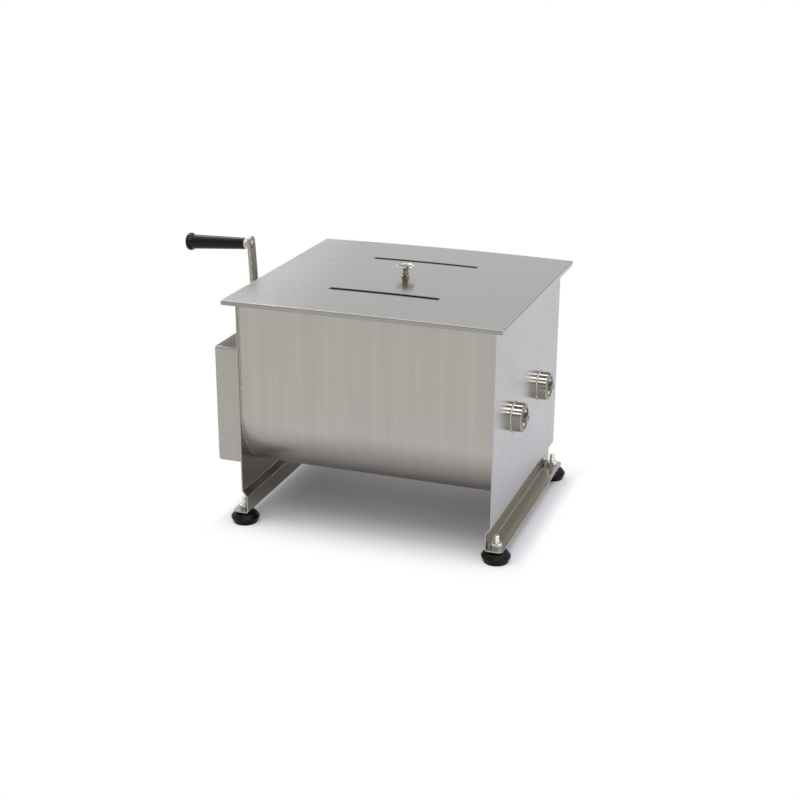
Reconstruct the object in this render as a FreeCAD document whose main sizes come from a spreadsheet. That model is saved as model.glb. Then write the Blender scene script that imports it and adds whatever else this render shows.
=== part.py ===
import FreeCAD, Part
import Sketcher
import math
import os

# Manual meat mixer: a stainless tub with two paddle shafts, turned by a hand crank through
# a pinion that drives both shaft gears. Millimetres, +Z up, -Y the front, -X the crank side.
# The origin is on the floor, under the middle of the whole footprint, crank included.

os.makedirs("parts", exist_ok=True)
doc = FreeCAD.newDocument("meat_mixer")
Vector = FreeCAD.Vector

SIZES = [
    # alias, number, what it is
    ("centre_x", 82.056, "middle plane between the side panels, from the origin"),
    ("half_width", 225.0, "outer face of a side panel, from the middle plane"),
    ("half_depth", 208.0, "half of a side panel's front to back length"),
    ("panel_sheet", 2.0, "side panel sheet thickness"),
    ("rim_top", 410.8, "top of the tub rim, where the lid rests"),
    ("side_rim", 13.5, "width of the rim turned out from a side panel"),
    ("plate_foot", 65.5, "height where the side panel bends inwards"),
    ("leg_top", 54.8, "height where the bend ends and the leg drops"),
    ("leg_inset", 8.5, "how far the leg stands in from the side panel"),
    ("flange_under", 23.8, "underside of the foot flange"),
    ("flange_width", 27.5, "foot flange width, out from the leg"),
    ("tub_sheet", 1.5, "tub sheet thickness"),
    ("tub_rim", 19.5, "width of the rim turned out from a tub wall"),
    ("shaft_offset", 84.0, "paddle shaft axis, from the middle plane in Y"),
    ("shaft_height", 219.0, "height of the paddle shaft axes"),
    ("trough_radius", 120.0, "outer radius of each trough"),
    ("trough_height", 209.0, "height of the trough centres"),
    ("lid_half_width", 242.5, "half of the lid in X"),
    ("lid_half_depth", 228.5, "half of the lid in Y"),
    ("lid_top", 412.6, "top of the lid at its side edges"),
    ("lid_sheet", 1.5, "lid sheet thickness"),
    ("lid_skirt", 7.5, "depth of the lid's folded edge, sheet included"),
    ("lid_crown", 5.2, "rise of the lid's middle over its side edges"),
    ("lid_crown_front", 1.0, "rise of the middle of the lid's front edge"),
    ("lid_crown_rear", 2.7, "rise of the middle of the lid's rear edge"),
    ("lid_notch", 2.5, "gap in the folded edge at a lid corner"),
    ("slot_offset", 107.0, "lid slot, from the middle plane in Y"),
    ("slot_length", 191.5, "lid slot length"),
    ("slot_width", 6.5, "lid slot width"),
    ("knob_radius", 16.6, "lid knob radius"),
    ("knob_height", 20.2, "lid knob height to its rim"),
    ("cover_depth", 52.2, "gear cover, out from the side panel"),
    ("cover_half", 189.0, "half of the gear cover in Y"),
    ("cover_foot", 109.6, "underside of the gear cover"),
    ("cover_top", 319.0, "top of the gear cover"),
    ("cover_sheet", 1.5, "gear cover sheet thickness"),
    ("cover_corner", 5.0, "outer radius of the gear cover's edges"),
    ("gear_module", 3.0, "gear module"),
    ("gear_teeth", 52, "teeth of each shaft gear"),
    ("pinion_teeth", 18, "teeth of the crank pinion"),
    ("gear_width", 12.0, "gear face width"),
    ("gear_start", 243.0, "near face of the gears, from the middle plane"),
    ("tooth_slack", 0.15, "taken off each tooth's thickness for backlash"),
    ("crank_rise", 63.0, "crank axis above the paddle shaft axes"),
    ("crank_reach", 153.1, "grip spindle axis from the bend of the arm, along the arm"),
    ("arm_bend", 16.0, "bend of the crank arm above the crank axis"),
    ("crank_lean", 2.95, "lean of the crank arm above its bend, outwards, in degrees"),
    ("arm_middle", 284.2, "middle of the arm's thickness at the crank axis"),
    ("arm_width", 21.5, "crank arm bar width"),
    ("arm_end", 13.7, "end of the arm above the grip spindle axis"),
    ("arm_thick", 6.0, "crank arm bar thickness"),
    ("grip_start", 12.4, "near end of the grip, from the middle of the arm"),
    ("grip_length", 113.2, "grip length"),
    ("grip_end_radius", 15.9, "radius of the grip's end flange"),
    ("hub_radius", 25.0, "bearing housing radius on the right side"),
    ("hub_length", 19.0, "bearing housing length on the right side"),
    ("hub_recess", 18.0, "radius of the recess in a right hand housing's face"),
    ("recess_depth", 2.5, "depth of the recess in a right hand housing's face"),
    ("boss_radius", 21.0, "bearing housing radius inside the gear cover"),
    ("boss_length", 15.0, "bearing housing length inside the gear cover"),
    ("shaft_radius", 10.0, "paddle shaft radius inside the tub"),
    ("journal_radius", 9.0, "paddle shaft radius in its bushes"),
    ("seat_radius", 8.0, "shaft radius under the gears"),
    ("end_radius", 5.0, "radius of the right hand shaft thread"),
    ("bush_radius", 13.0, "outer radius of the bushes"),
    ("collar_radius", 16.0, "paddle collar radius"),
    ("collar_length", 30.0, "paddle collar length"),
    ("fit", 0.05, "radial running clearance"),
    ("paddle_radius", 110.0, "paddle tip radius"),
    ("blade_width", 46.0, "paddle blade width"),
    ("blade_thick", 4.0, "paddle blade thickness"),
    ("blade_pitch", 35.0, "turn of a blade about its own arm, in degrees"),
    ("paddle_step", 88.0, "distance between the paddles of one shaft"),
    ("foot_x", 229.0, "levelling foot axis, from the middle plane in X"),
    ("foot_y", 188.5, "levelling foot axis, from the middle plane in Y"),
    ("foot_radius", 25.0, "levelling foot radius at its rim"),
    ("stud_radius", 5.0, "levelling foot stud radius"),
]

sheet = doc.addObject("Spreadsheet::Sheet", "dims")
for row, (alias, number, words) in enumerate(SIZES, start=1):
    sheet.set(f"A{row}", words)
    sheet.set(f"B{row}", str(number))
    sheet.setAlias(f"B{row}", alias)
doc.recompute()


class Measure:
    """A length that carries both its number and its formula on the dimension sheet."""

    def __init__(self, value, formula):
        self.value = float(value)
        self.formula = formula

    def __add__(self, other):
        other = measure(other)
        return Measure(self.value + other.value, f"({self.formula} + {other.formula})")

    def __sub__(self, other):
        other = measure(other)
        return Measure(self.value - other.value, f"({self.formula} - {other.formula})")

    def __mul__(self, other):
        other = measure(other)
        return Measure(self.value * other.value, f"({self.formula} * {other.formula})")

    def __truediv__(self, other):
        other = measure(other)
        return Measure(self.value / other.value, f"({self.formula} / {other.formula})")

    def __neg__(self):
        return measure(0) - self

    def __radd__(self, other):
        return measure(other) + self

    def __rsub__(self, other):
        return measure(other) - self

    def __rmul__(self, other):
        return measure(other) * self

    def root(self):
        """Square root."""
        return Measure(math.sqrt(self.value), f"sqrt({self.formula})")

    def sine(self):
        """Sine of an angle in degrees."""
        return Measure(math.sin(math.radians(self.value)), f"sin({self.formula})")

    def cosine(self):
        """Cosine of an angle in degrees."""
        return Measure(math.cos(math.radians(self.value)), f"cos({self.formula})")


def measure(thing):
    """A Measure as it is, or a plain number made into one."""
    if isinstance(thing, Measure):
        return thing
    return Measure(thing, f"{float(thing):.6f}")


def number(thing):
    """The number of a Measure, or a plain number as it is."""
    return measure(thing).value


size = {alias: Measure(value, f"dims.{alias}") for alias, value, words in SIZES}

half_width = size["half_width"]
half_depth = size["half_depth"]
panel_sheet = size["panel_sheet"]
panel_inner = half_width - panel_sheet
rim_top = size["rim_top"]
flange_top = size["flange_under"] + panel_sheet
shaft_offset = size["shaft_offset"]
shaft_height = size["shaft_height"]
crank_height = size["shaft_height"] + size["crank_rise"]
fit = size["fit"]
spigot_radius = size["boss_radius"] - 3
lid_height = size["lid_top"] + size["lid_crown"]
foot_x = size["foot_x"]
foot_y = size["foot_y"]

ALONG_X = FreeCAD.Rotation(Vector(0, 1, 0), 90)
ALONG_MINUS_X = FreeCAD.Rotation(Vector(0, 1, 0), -90)

SUBPARTS = []


def keep(item, label):
    """Name a finished sub-part and list it for export."""
    item.Label = label
    SUBPARTS.append(item)
    return item


def bind(item, path, amount):
    """Bind one property to the dimension sheet; plain numbers are left as they are."""
    if isinstance(amount, Measure):
        item.setExpression(path, amount.formula)


def bind_rule(sketch, rule, amount):
    """Add a dimension to a sketch and bind it."""
    bind(sketch, f"Constraints[{sketch.addConstraint(rule)}]", amount)


def place(item, x=0, y=0, z=0, turn=None):
    """Put a sub-part at a point given from the middle plane, turned by a Rotation if needed."""
    x = size["centre_x"] + x
    base = Vector(x.value, number(y), number(z))
    item.Placement = FreeCAD.Placement(base, turn or FreeCAD.Rotation())
    bind(item, "Placement.Base.x", x)
    bind(item, "Placement.Base.y", y)
    bind(item, "Placement.Base.z", z)
    return item


def about_x(degrees):
    return FreeCAD.Rotation(Vector(1, 0, 0), degrees)


def new_body(name):
    return doc.addObject("PartDesign::Body", name)


def new_sketch(body, name, plane, shift=(0, 0, 0), turn=None):
    """A sketch on one of the body's own planes, shifted and turned in that plane's frame."""
    sketch = body.newObject("Sketcher::SketchObject", f"{body.Name}_{name}")
    support = [item for item in body.Origin.OriginFeatures if item.Role == plane][0]
    sketch.AttachmentSupport = [(support, "")]
    sketch.MapMode = "FlatFace"
    base = Vector(number(shift[0]), number(shift[1]), number(shift[2]))
    sketch.AttachmentOffset = FreeCAD.Placement(base, turn or FreeCAD.Rotation())
    for axis, amount in zip("xyz", shift):
        bind(sketch, f"AttachmentOffset.Base.{axis}", amount)
    return sketch


def bind_point(sketch, edge, end, x, y):
    """Fix a point of the sketch at its two coordinates."""
    for kind, amount in (("DistanceX", x), ("DistanceY", y)):
        bind_rule(sketch, Sketcher.Constraint(kind, -1, 1, edge, end, number(amount)), amount)


def arc_through(start, stop, radius, side):
    """A circular arc between two points; side +1 has its centre on the left of the chord."""
    chord = stop - start
    middle = (start + stop) / 2
    left = Vector(-chord.y, chord.x, 0).normalize()
    rise = math.sqrt(max(radius**2 - (chord.Length / 2) ** 2, 0))
    crest = middle + left * side * (rise - radius)
    return Part.Arc(start, crest, stop)


def outline(sketch, corners):
    """Closed outline. A corner is (x, y), or (x, y, radius, side) where the edge that
    arrives there is an arc."""
    first = sketch.GeometryCount
    count = len(corners)
    points = [Vector(number(c[0]), number(c[1]), 0) for c in corners]
    for index in range(count):
        target = corners[(index + 1) % count]
        start, stop = points[index], points[(index + 1) % count]
        if len(target) == 4:
            edge = arc_through(start, stop, number(target[2]), target[3])
        else:
            edge = Part.LineSegment(start, stop)
        sketch.addGeometry(edge, False)

    def clockwise(corner):
        return len(corner) == 4 and corner[3] < 0

    # sketch arcs always run anticlockwise, so a clockwise one is stored end for end
    for index in range(count):
        following = (index + 1) % count
        target, after = corners[following], corners[(following + 1) % count]
        end = 1 if clockwise(target) else 2
        begin = 2 if clockwise(after) else 1
        joint = Sketcher.Constraint("Coincident", first + index, end, first + following, begin)
        sketch.addConstraint(joint)
        bind_point(sketch, first + index, end, target[0], target[1])
        if len(target) == 4:
            rule = Sketcher.Constraint("Radius", first + index, number(target[2]))
            bind_rule(sketch, rule, target[2])
    return sketch


def circle(sketch, x, y, radius):
    """Full circle bound at its centre and radius."""
    centre = Vector(number(x), number(y), 0)
    round_edge = Part.Circle(centre, Vector(0, 0, 1), number(radius))
    edge = sketch.addGeometry(round_edge, False)
    bind_point(sketch, edge, 3, x, y)
    bind_rule(sketch, Sketcher.Constraint("Radius", edge, number(radius)), radius)
    return sketch


def rectangle(sketch, x0, y0, x1, y1):
    return outline(sketch, [(x0, y0), (x1, y0), (x1, y1), (x0, y1)])


def soft_rectangle(sketch, x0, y0, x1, y1, radius):
    """Rectangle with round corners."""
    return outline(sketch, [
        (x0 + radius, y0, radius, 1), (x1 - radius, y0),
        (x1, y0 + radius, radius, 1), (x1, y1 - radius),
        (x1 - radius, y1, radius, 1), (x0 + radius, y1),
        (x0, y1 - radius, radius, 1), (x0, y0 + radius),
    ])


def pad(body, sketch, length, middle=False, back=False):
    """Raise a sketch; middle puts half of the length on each side of it."""
    feature = body.newObject("PartDesign::Pad", f"{sketch.Name}_pad")
    feature.Profile = sketch
    feature.Length = number(length)
    bind(feature, "Length", length)
    if middle:
        feature.SideType = "Symmetric"
    feature.Reversed = back
    doc.recompute()
    return feature


def less_than(body, before, name):
    """Stop if a cut removed nothing."""
    if not body.Shape.Volume < before - 1e-3:
        raise RuntimeError(f"{name} cuts nothing")


def pocket(body, sketch, length=None, middle=False, back=False):
    """Cut a sketch to a depth, or through the whole body on both sides of the sketch."""
    before = body.Shape.Volume
    feature = body.newObject("PartDesign::Pocket", f"{sketch.Name}_cut")
    feature.Profile = sketch
    if length is None:
        feature.Type = "ThroughAll"
        feature.SideType = "Symmetric"
    else:
        feature.Length = number(length)
        bind(feature, "Length", length)
    if middle:
        feature.SideType = "Symmetric"
    feature.Reversed = back
    doc.recompute()
    less_than(body, before, feature.Name)
    return feature


def revolve(body, sketch, axis):
    """Turn a sketch about its own horizontal (H_Axis) or vertical (V_Axis) axis."""
    feature = body.newObject("PartDesign::Revolution", f"{sketch.Name}_turn")
    feature.Profile = sketch
    feature.ReferenceAxis = (sketch, [axis])
    feature.Angle = 360
    doc.recompute()
    return feature


def groove(body, sketch, axis):
    """Turn a sketch about its own axis and take it away."""
    before = body.Shape.Volume
    feature = body.newObject("PartDesign::Groove", f"{sketch.Name}_groove")
    feature.Profile = sketch
    feature.ReferenceAxis = (sketch, [axis])
    feature.Angle = 360
    doc.recompute()
    less_than(body, before, feature.Name)
    return feature


def repeat_round(body, feature, axis, count):
    """Repeat a feature evenly round an axis (object, [sub-element])."""
    pattern = body.newObject("PartDesign::PolarPattern", f"{feature.Name}_round")
    pattern.Originals = [feature]
    pattern.Axis = axis
    pattern.Angle = 360
    pattern.Occurrences = int(number(count))
    bind(pattern, "Occurrences", count)
    body.Tip = pattern
    doc.recompute()
    return pattern


def round_edges(body, radius, chosen):
    """Fillet the edges of the body's last feature whose middle point passes the test."""
    last = body.Tip
    names = []
    for index, edge in enumerate(last.Shape.Edges, start=1):
        middle = edge.valueAt((edge.FirstParameter + edge.LastParameter) / 2)
        if chosen(middle, edge):
            names.append(f"Edge{index}")
    if not names:
        raise RuntimeError(f"{body.Name}: no edge to round")
    feature = body.newObject("PartDesign::Fillet", f"{body.Name}_round{len(body.Group)}")
    feature.Base = (last, names)
    feature.Radius = number(radius)
    bind(feature, "Radius", radius)
    doc.recompute()
    return feature


def runs_along(edge, axis):
    """Whether an edge is straight along x, y or z."""
    if edge.Degenerated:
        return False
    return abs(getattr(edge.tangentAt(edge.FirstParameter), axis)) > 0.99


def close(value, amount, slack=0.05):
    return abs(abs(value) - number(amount)) < slack


def turned_x(name, profile):
    """A body turned about X: profile points are (x, radius)."""
    body = new_body(name)
    sketch = outline(new_sketch(body, "profile", "XZ_Plane"), profile)
    revolve(body, sketch, "H_Axis")
    return body


def turned_z(name, profile):
    """A body turned about Z: profile points are (radius, z)."""
    body = new_body(name)
    sketch = outline(new_sketch(body, "profile", "XZ_Plane"), profile)
    revolve(body, sketch, "V_Axis")
    return body


def group(label, items):
    """Several loose solids of one kind as one sub-part."""
    bundle = doc.addObject("Part::Compound", label)
    bundle.Links = items
    doc.recompute()
    return keep(bundle, label)


def hex_nut(name, across_flats, height, bore):
    """Hexagonal nut along +Z on its own XY plane, its corners turned down at both faces."""
    body = new_body(name)
    corner = across_flats / math.sqrt(3)
    angles = [math.radians(60 * k) for k in range(6)]
    base = outline(new_sketch(body, "hex", "XY_Plane"),
                   [(corner * math.cos(a), corner * math.sin(a)) for a in angles])
    circle(base, 0, 0, bore)
    pad(body, base, height)
    flat, drop = across_flats / 2 - 0.3, (corner - across_flats / 2 + 0.3) * 0.55
    bevel = new_sketch(body, "bevel", "XZ_Plane")
    outline(bevel, [(flat, height), (corner, height - drop), (corner, height + 1)])
    outline(bevel, [(flat, 0), (corner, -1), (corner, drop)])
    groove(body, bevel, "V_Axis")
    return body


# Frame: two bent side panels

def side_panel(side):
    """One sheet: rim turned out at the top, plate, small bend inwards, leg, foot flange.
    Side +1 is the right panel."""
    name = "side_panel_right" if side > 0 else "side_panel_left"
    body = new_body(name)
    leg_outer = half_width - size["leg_inset"]
    leg_inner = leg_outer - panel_sheet
    rim_out = half_width + size["side_rim"]
    flange_out = leg_outer + size["flange_width"]
    bend_shift = panel_sheet * 0.365
    corners = [
        (rim_out, rim_top),
        (panel_inner, rim_top),
        (panel_inner, size["plate_foot"] + bend_shift),
        (leg_inner, size["leg_top"] + bend_shift),
        (leg_inner, size["flange_under"]),
        (flange_out, size["flange_under"]),
        (flange_out, flange_top),
        (leg_outer, flange_top),
        (leg_outer, size["leg_top"]),
        (half_width, size["plate_foot"]),
        (half_width, rim_top - panel_sheet),
        (rim_out, rim_top - panel_sheet),
    ]
    section = new_sketch(body, "section", "XZ_Plane")
    outline(section, [(side * x, z) for x, z in corners])
    pad(body, section, half_depth * 2, middle=True)

    def bends(places):
        return lambda p, e: runs_along(e, "y") and any(
            close(p.x, x) and close(p.z, z) for x, z in places)

    outer = [corners[1], corners[4]]
    inner = [corners[7], corners[10]]
    jog = [corners[2], corners[3], corners[8], corners[9]]
    round_edges(body, panel_sheet * 1.75, bends(outer))
    round_edges(body, panel_sheet * 0.75, bends(inner))
    round_edges(body, panel_sheet, bends(jog))
    # rounded outer corners of the foot flange
    round_edges(body, 8, lambda p, e: close(p.x, flange_out) and runs_along(e, "z"))

    studs = new_sketch(body, "stud_holes", "XY_Plane")
    for y in (-foot_y, foot_y):
        circle(studs, side * foot_x, y, size["stud_radius"] + 0.5)
    pocket(body, studs, flange_top, back=True)

    holes = new_sketch(body, "bearing_holes", "YZ_Plane", (0, 0, side * half_width))
    for y in (-shaft_offset, shaft_offset):
        circle(holes, y, shaft_height, spigot_radius + fit)
    pocket(body, holes, panel_sheet * 3, middle=True)
    place(body)
    return keep(body, name)


side_panel(-1)
side_panel(1)


# Tub: front wall, two troughs that meet in a ridge, back wall, in one sheet

def tub_shell():
    body = new_body("tub_shell")
    radius = size["trough_radius"]
    height, sheet_t = size["trough_height"], size["tub_sheet"]
    wall = shaft_offset + radius
    rim = wall + size["tub_rim"]
    bore = radius - sheet_t
    ridge_low = height - (radius * radius - shaft_offset * shaft_offset).root()
    ridge_high = height - (bore * bore - shaft_offset * shaft_offset).root()
    under_rim = rim_top - sheet_t
    corners = [
        (-rim, rim_top),
        (-rim, under_rim),
        (-wall, under_rim),
        (-wall, height),
        (0, ridge_low, radius, 1),
        (wall, height, radius, 1),
        (wall, under_rim),
        (rim, under_rim),
        (rim, rim_top),
        (wall - sheet_t, rim_top),
        (wall - sheet_t, height),
        (0, ridge_high, bore, -1),
        (sheet_t - wall, height, bore, -1),
        (sheet_t - wall, rim_top),
    ]
    section = outline(new_sketch(body, "section", "YZ_Plane"), corners)
    pad(body, section, panel_inner * 2, middle=True)
    round_edges(body, sheet_t * 2, lambda p, e: runs_along(e, "x")
                and close(p.y, wall - sheet_t) and close(p.z, rim_top))
    round_edges(body, sheet_t, lambda p, e: runs_along(e, "x")
                and close(p.y, wall) and close(p.z, under_rim))
    place(body)
    return keep(body, "tub_shell")


tub_shell()


# Gear cover on the left panel, with the four posts and screws that hold it

def gear_cover():
    """Box open towards the panel, folded with rounded edges all round."""
    body = new_body("gear_cover")
    half, foot, top = size["cover_half"], size["cover_foot"], size["cover_top"]
    sheet_t, depth = size["cover_sheet"], size["cover_depth"]
    face = half_width + depth
    corner = size["cover_corner"]
    base = new_sketch(body, "box", "YZ_Plane", (0, 0, -half_width))
    soft_rectangle(base, -half, foot, half, top, corner)
    pad(body, base, depth, back=True)
    round_edges(body, corner - 0.1, lambda p, e: abs(p.x + number(face)) < 0.02)
    hollow = new_sketch(body, "hollow", "YZ_Plane", (0, 0, -half_width))
    soft_rectangle(hollow, sheet_t - half, foot + sheet_t, half - sheet_t, top - sheet_t,
                   corner - sheet_t)
    pocket(body, hollow, depth - sheet_t)
    round_edges(body, corner - sheet_t - 0.1, lambda p, e: abs(p.x + number(face - sheet_t)) < 0.02)

    holes = new_sketch(body, "holes", "YZ_Plane", (0, 0, -face))
    circle(holes, 0, crank_height, 12 + fit)
    for y, z in post_points():
        circle(holes, y, z, 3.2)
    pocket(body, holes, sheet_t * 3, middle=True)
    place(body)
    return keep(body, "gear_cover")


def post_points():
    """The corners where posts carry the gear cover."""
    y = size["cover_half"] - 14
    for side in (-1, 1):
        for z in (size["cover_foot"] + 14, size["cover_top"] - 14):
            yield side * y, z


gear_cover()


def cover_posts():
    body = new_body("cover_posts")
    foot = new_sketch(body, "rounds", "YZ_Plane", (0, 0, -half_width))
    for y, z in post_points():
        circle(foot, y, z, 6)
    length = size["cover_depth"] - size["cover_sheet"]
    pad(body, foot, length, back=True)
    tapped = new_sketch(body, "threads", "YZ_Plane", (0, 0, -(half_width + length)))
    for y, z in post_points():
        circle(tapped, y, z, 3)
    pocket(body, tapped, 16, back=True)
    place(body)
    return keep(body, "cover_posts")


cover_posts()

cover_face = half_width + size["cover_depth"]
screws = []
for index, (y, z) in enumerate(post_points(), start=1):
    screw = turned_x(f"cover_screw_{index}", [
        (12, 0), (12, 2.5), (11.5, 3), (0, 3), (0, 5.5), (-1.6, 5.3), (-3, 3.6),
        (-3, 1.8), (-1.2, 1.8), (-1.2, 0),
    ])
    place(screw, -cover_face, y, z)
    screws.append(screw)
group("cover_screws", screws)


# Bearings of the paddle shafts

spigot_end = half_width - 4
seal_end = half_width + 0.7
hub_face = half_width + size["hub_length"]
boss_face = half_width + size["boss_length"]
bush_radius = size["bush_radius"]
journal = size["journal_radius"]


def housing(label, side, y, face, radius, bevel, recess=()):
    """Flanged bearing housing welded into a side panel, its spigot reaching into the tub."""
    bead = 1.6
    floor = recess[0][0] if recess else face
    profile = [
        (spigot_end, bush_radius + fit),
        (floor, bush_radius + fit),
        *recess,
        (face, radius - bevel),
        (face - bevel, radius),
        (half_width + bead, radius),
        (half_width, radius + bead),
        (half_width, spigot_radius),
        (spigot_end, spigot_radius),
    ]
    body = turned_x(label, [(side * x, r) for x, r in profile])
    place(body, 0, y, shaft_height)
    return keep(body, label)


def bush(label, side, y, face):
    profile = [
        (half_width + 1, journal + fit),
        (face, journal + fit),
        (face, bush_radius),
        (half_width + 1, bush_radius),
    ]
    body = turned_x(label, [(side * x, r) for x, r in profile])
    place(body, 0, y, shaft_height)
    return keep(body, label)


seals = []
recess_floor = hub_face - size["recess_depth"]
hub_recess = [(recess_floor, size["hub_recess"]), (hub_face - 0.8, size["hub_recess"]),
              (hub_face, size["hub_recess"] + 0.8)]
for row, y in (("front", -shaft_offset), ("rear", shaft_offset)):
    housing(f"bearing_housing_right_{row}", 1, y, hub_face, size["hub_radius"], 2.2, hub_recess)
    housing(f"bearing_housing_left_{row}", -1, y, boss_face, size["boss_radius"], 1.5)
    bush(f"bush_right_{row}", 1, y, recess_floor)
    bush(f"bush_left_{row}", -1, y, boss_face)
    for side, hand in ((1, "right"), (-1, "left")):
        lip = size["shaft_radius"] + fit
        ring = [
            (spigot_end + 0.3, lip), (spigot_end + 1.5, lip), (spigot_end + 2, lip + 1.2),
            (seal_end, lip + 1.2), (seal_end, bush_radius), (spigot_end + 0.3, bush_radius),
        ]
        seal = turned_x(f"seal_{hand}_{row}", [(side * x, r) for x, r in ring])
        seals.append(place(seal, 0, y, shaft_height))
group("shaft_seals", seals)


# Crank bearings: a blind one on the panel, a flanged bush in the cover

crank_radius = size["seat_radius"]
crank_housing = turned_x("crank_housing", [
    (-half_width, 0),
    (-half_width, 24),
    (-(half_width + 3), 24),
    (-(half_width + 3), 20),
    (-(boss_face - 1), 20),
    (-boss_face, 19),
    (-boss_face, bush_radius + fit),
    (-(half_width + 2), bush_radius + fit),
    (-(half_width + 2), 0),
])
keep(place(crank_housing, 0, 0, crank_height), "crank_housing")

crank_bush_inner = turned_x("crank_bush_inner", [
    (-(half_width + 2), crank_radius + fit),
    (-boss_face, crank_radius + fit),
    (-boss_face, bush_radius),
    (-(half_width + 2), bush_radius),
])
keep(place(crank_bush_inner, 0, 0, crank_height), "crank_bush_inner")

cover_inside = cover_face - size["cover_sheet"]
crank_bush_outer = turned_x("crank_bush_outer", [
    (-(cover_inside - 14), crank_radius + fit),
    (-(cover_face + 2), crank_radius + fit),
    (-(cover_face + 2), 11.5),
    (-(cover_face + 1.5), 12),
    (-cover_inside, 12),
    (-cover_inside, 20),
    (-(cover_inside - 3), 20),
    (-(cover_inside - 3), 12),
    (-(cover_inside - 14), 12),
])
keep(place(crank_bush_outer, 0, 0, crank_height), "crank_bush_outer")


# Levelling feet

stud_radius = size["stud_radius"]
foot_stem = 8.0
stud_top = flange_top + 21.3
corners = [("front_left", -1, -1), ("front_right", 1, -1), ("rear_left", -1, 1), ("rear_right", 1, 1)]
nuts = []
studs = []
for where, side_x, side_y in corners:
    rim = size["foot_radius"]
    foot = turned_z(f"foot_pad_{where}", [
        (0, 0),
        (rim - 4, 0),
        (rim, 10),
        (rim, 11.5),
        (rim - 5.5, 18.5),
        (14.5, 21),
        (14, size["flange_under"]),
        (stud_radius + 0.02, size["flange_under"]),
        (stud_radius + 0.02, foot_stem),
        (0, foot_stem),
    ])
    place(foot, side_x * foot_x, side_y * foot_y)
    keep(foot, f"foot_pad_{where}")
    stud = turned_z(f"foot_stud_{where}", [
        (0, foot_stem), (stud_radius, foot_stem), (stud_radius, stud_top - 1),
        (stud_radius - 1, stud_top), (0, stud_top),
    ])
    studs.append(place(stud, side_x * foot_x, side_y * foot_y))
    nut = hex_nut(f"foot_nut_{where}", 17, 8, stud_radius + 0.02)
    nuts.append(place(nut, side_x * foot_x, side_y * foot_y, flange_top))
group("foot_studs", studs)
group("foot_nuts", nuts)


# Lid: crowned sheet with folded edges, two slots, and a knob

def bow(half, crown):
    """Radius of an arc over a chord of twice the half length, rising by the crown."""
    return (half * half + crown * crown) / (crown * 2)


def lid_panel():
    body = new_body("lid_panel")
    wide, deep, top = size["lid_half_width"], size["lid_half_depth"], size["lid_top"]
    sheet_t, skirt, crown = size["lid_sheet"], size["lid_skirt"], size["lid_crown"]
    inner = wide - sheet_t
    bend = sheet_t * 1.3
    front, rear = size["lid_crown_front"], size["lid_crown_rear"]
    # the crown along Y is one parabola through the front edge, the middle and the rear edge
    lean, sag = (rear - front) / 2, crown - (rear + front) / 2

    def rise_at(part):
        return crown + lean * part - sag * (part * part)

    for name, steps in (("front_half", (-1, -0.5, 0)), ("rear_half", (1, 0.5, 0))):
        sections = []
        for index, part in enumerate(steps):
            rise = rise_at(part)
            # the side bend ends where it has the slope of the crown
            flat = wide - bend
            slope = flat * rise * 2 / (flat * flat + rise * rise)
            side_x = flat + bend * slope
            side_z = top - bend + bend * (1 - slope * slope).root()
            # the plane's own normal points to the front
            section = new_sketch(body, f"{name}_{index}", "XZ_Plane", (0, 0, -deep * part))
            sections.append(outline(section, [
                (-wide, top - skirt),
                (-inner, top - skirt),
                (-inner, top - sheet_t),
                (inner, top - sheet_t, bow(inner, rise), -1),
                (inner, top - skirt),
                (wide, top - skirt),
                (wide, top - bend),
                (side_x, side_z, bend, 1),
                (-side_x, side_z, bow(side_x, rise), 1),
                (-wide, top - bend, bend, 1),
            ]))
        half = body.newObject("PartDesign::AdditiveLoft", name)
        half.Profile = sections[0]
        half.Sections = sections[1:]
        doc.recompute()
    for side, (y, rise) in ((-1, (-deep, front)), (1, (deep, rear))):
        fold = new_sketch(body, "front_fold" if side < 0 else "rear_fold", "XZ_Plane", (0, 0, -y))
        outline(fold, [
            (-inner, top - skirt),
            (inner, top - skirt),
            (inner, top - sheet_t / 2),
            (-inner, top - sheet_t / 2, bow(inner, rise), 1),
        ])
        pad(body, fold, sheet_t, back=side < 0)
    # the rear fold stays sharp: its bend isn't seen from the working side
    round_edges(body, bend, lambda p, e: abs(p.y + number(deep)) < 0.01
                and abs(p.x) < 5 and p.z > number(top))
    notch = size["lid_notch"]
    gaps = new_sketch(body, "corner_gaps", "XY_Plane", (0, 0, top - skirt))
    for sx in (-1, 1):
        for sy in (-1, 1):
            x0, x1 = sorted((sx * (wide - notch), sx * (wide + 1)), key=number)
            y0, y1 = sorted((sy * (deep - notch), sy * (deep + 1)), key=number)
            rectangle(gaps, x0, y0, x1, y1)
    pocket(body, gaps, skirt - sheet_t, back=True)

    slots = new_sketch(body, "slots", "XY_Plane", (0, 0, lid_height + 1))
    long, across = size["slot_length"] / 2, size["slot_width"] / 2
    for sy in (-1, 1):
        y = sy * size["slot_offset"]
        rectangle(slots, -long, y - across, long, y + across)
    circle(slots, 0, 0, 2.7)
    pocket(body, slots, crown + sheet_t + 3)
    round_edges(body, across - 0.05, lambda p, e: runs_along(e, "z") and close(p.x, long))

    place(body)
    return keep(body, "lid_panel")


lid_panel()

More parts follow.
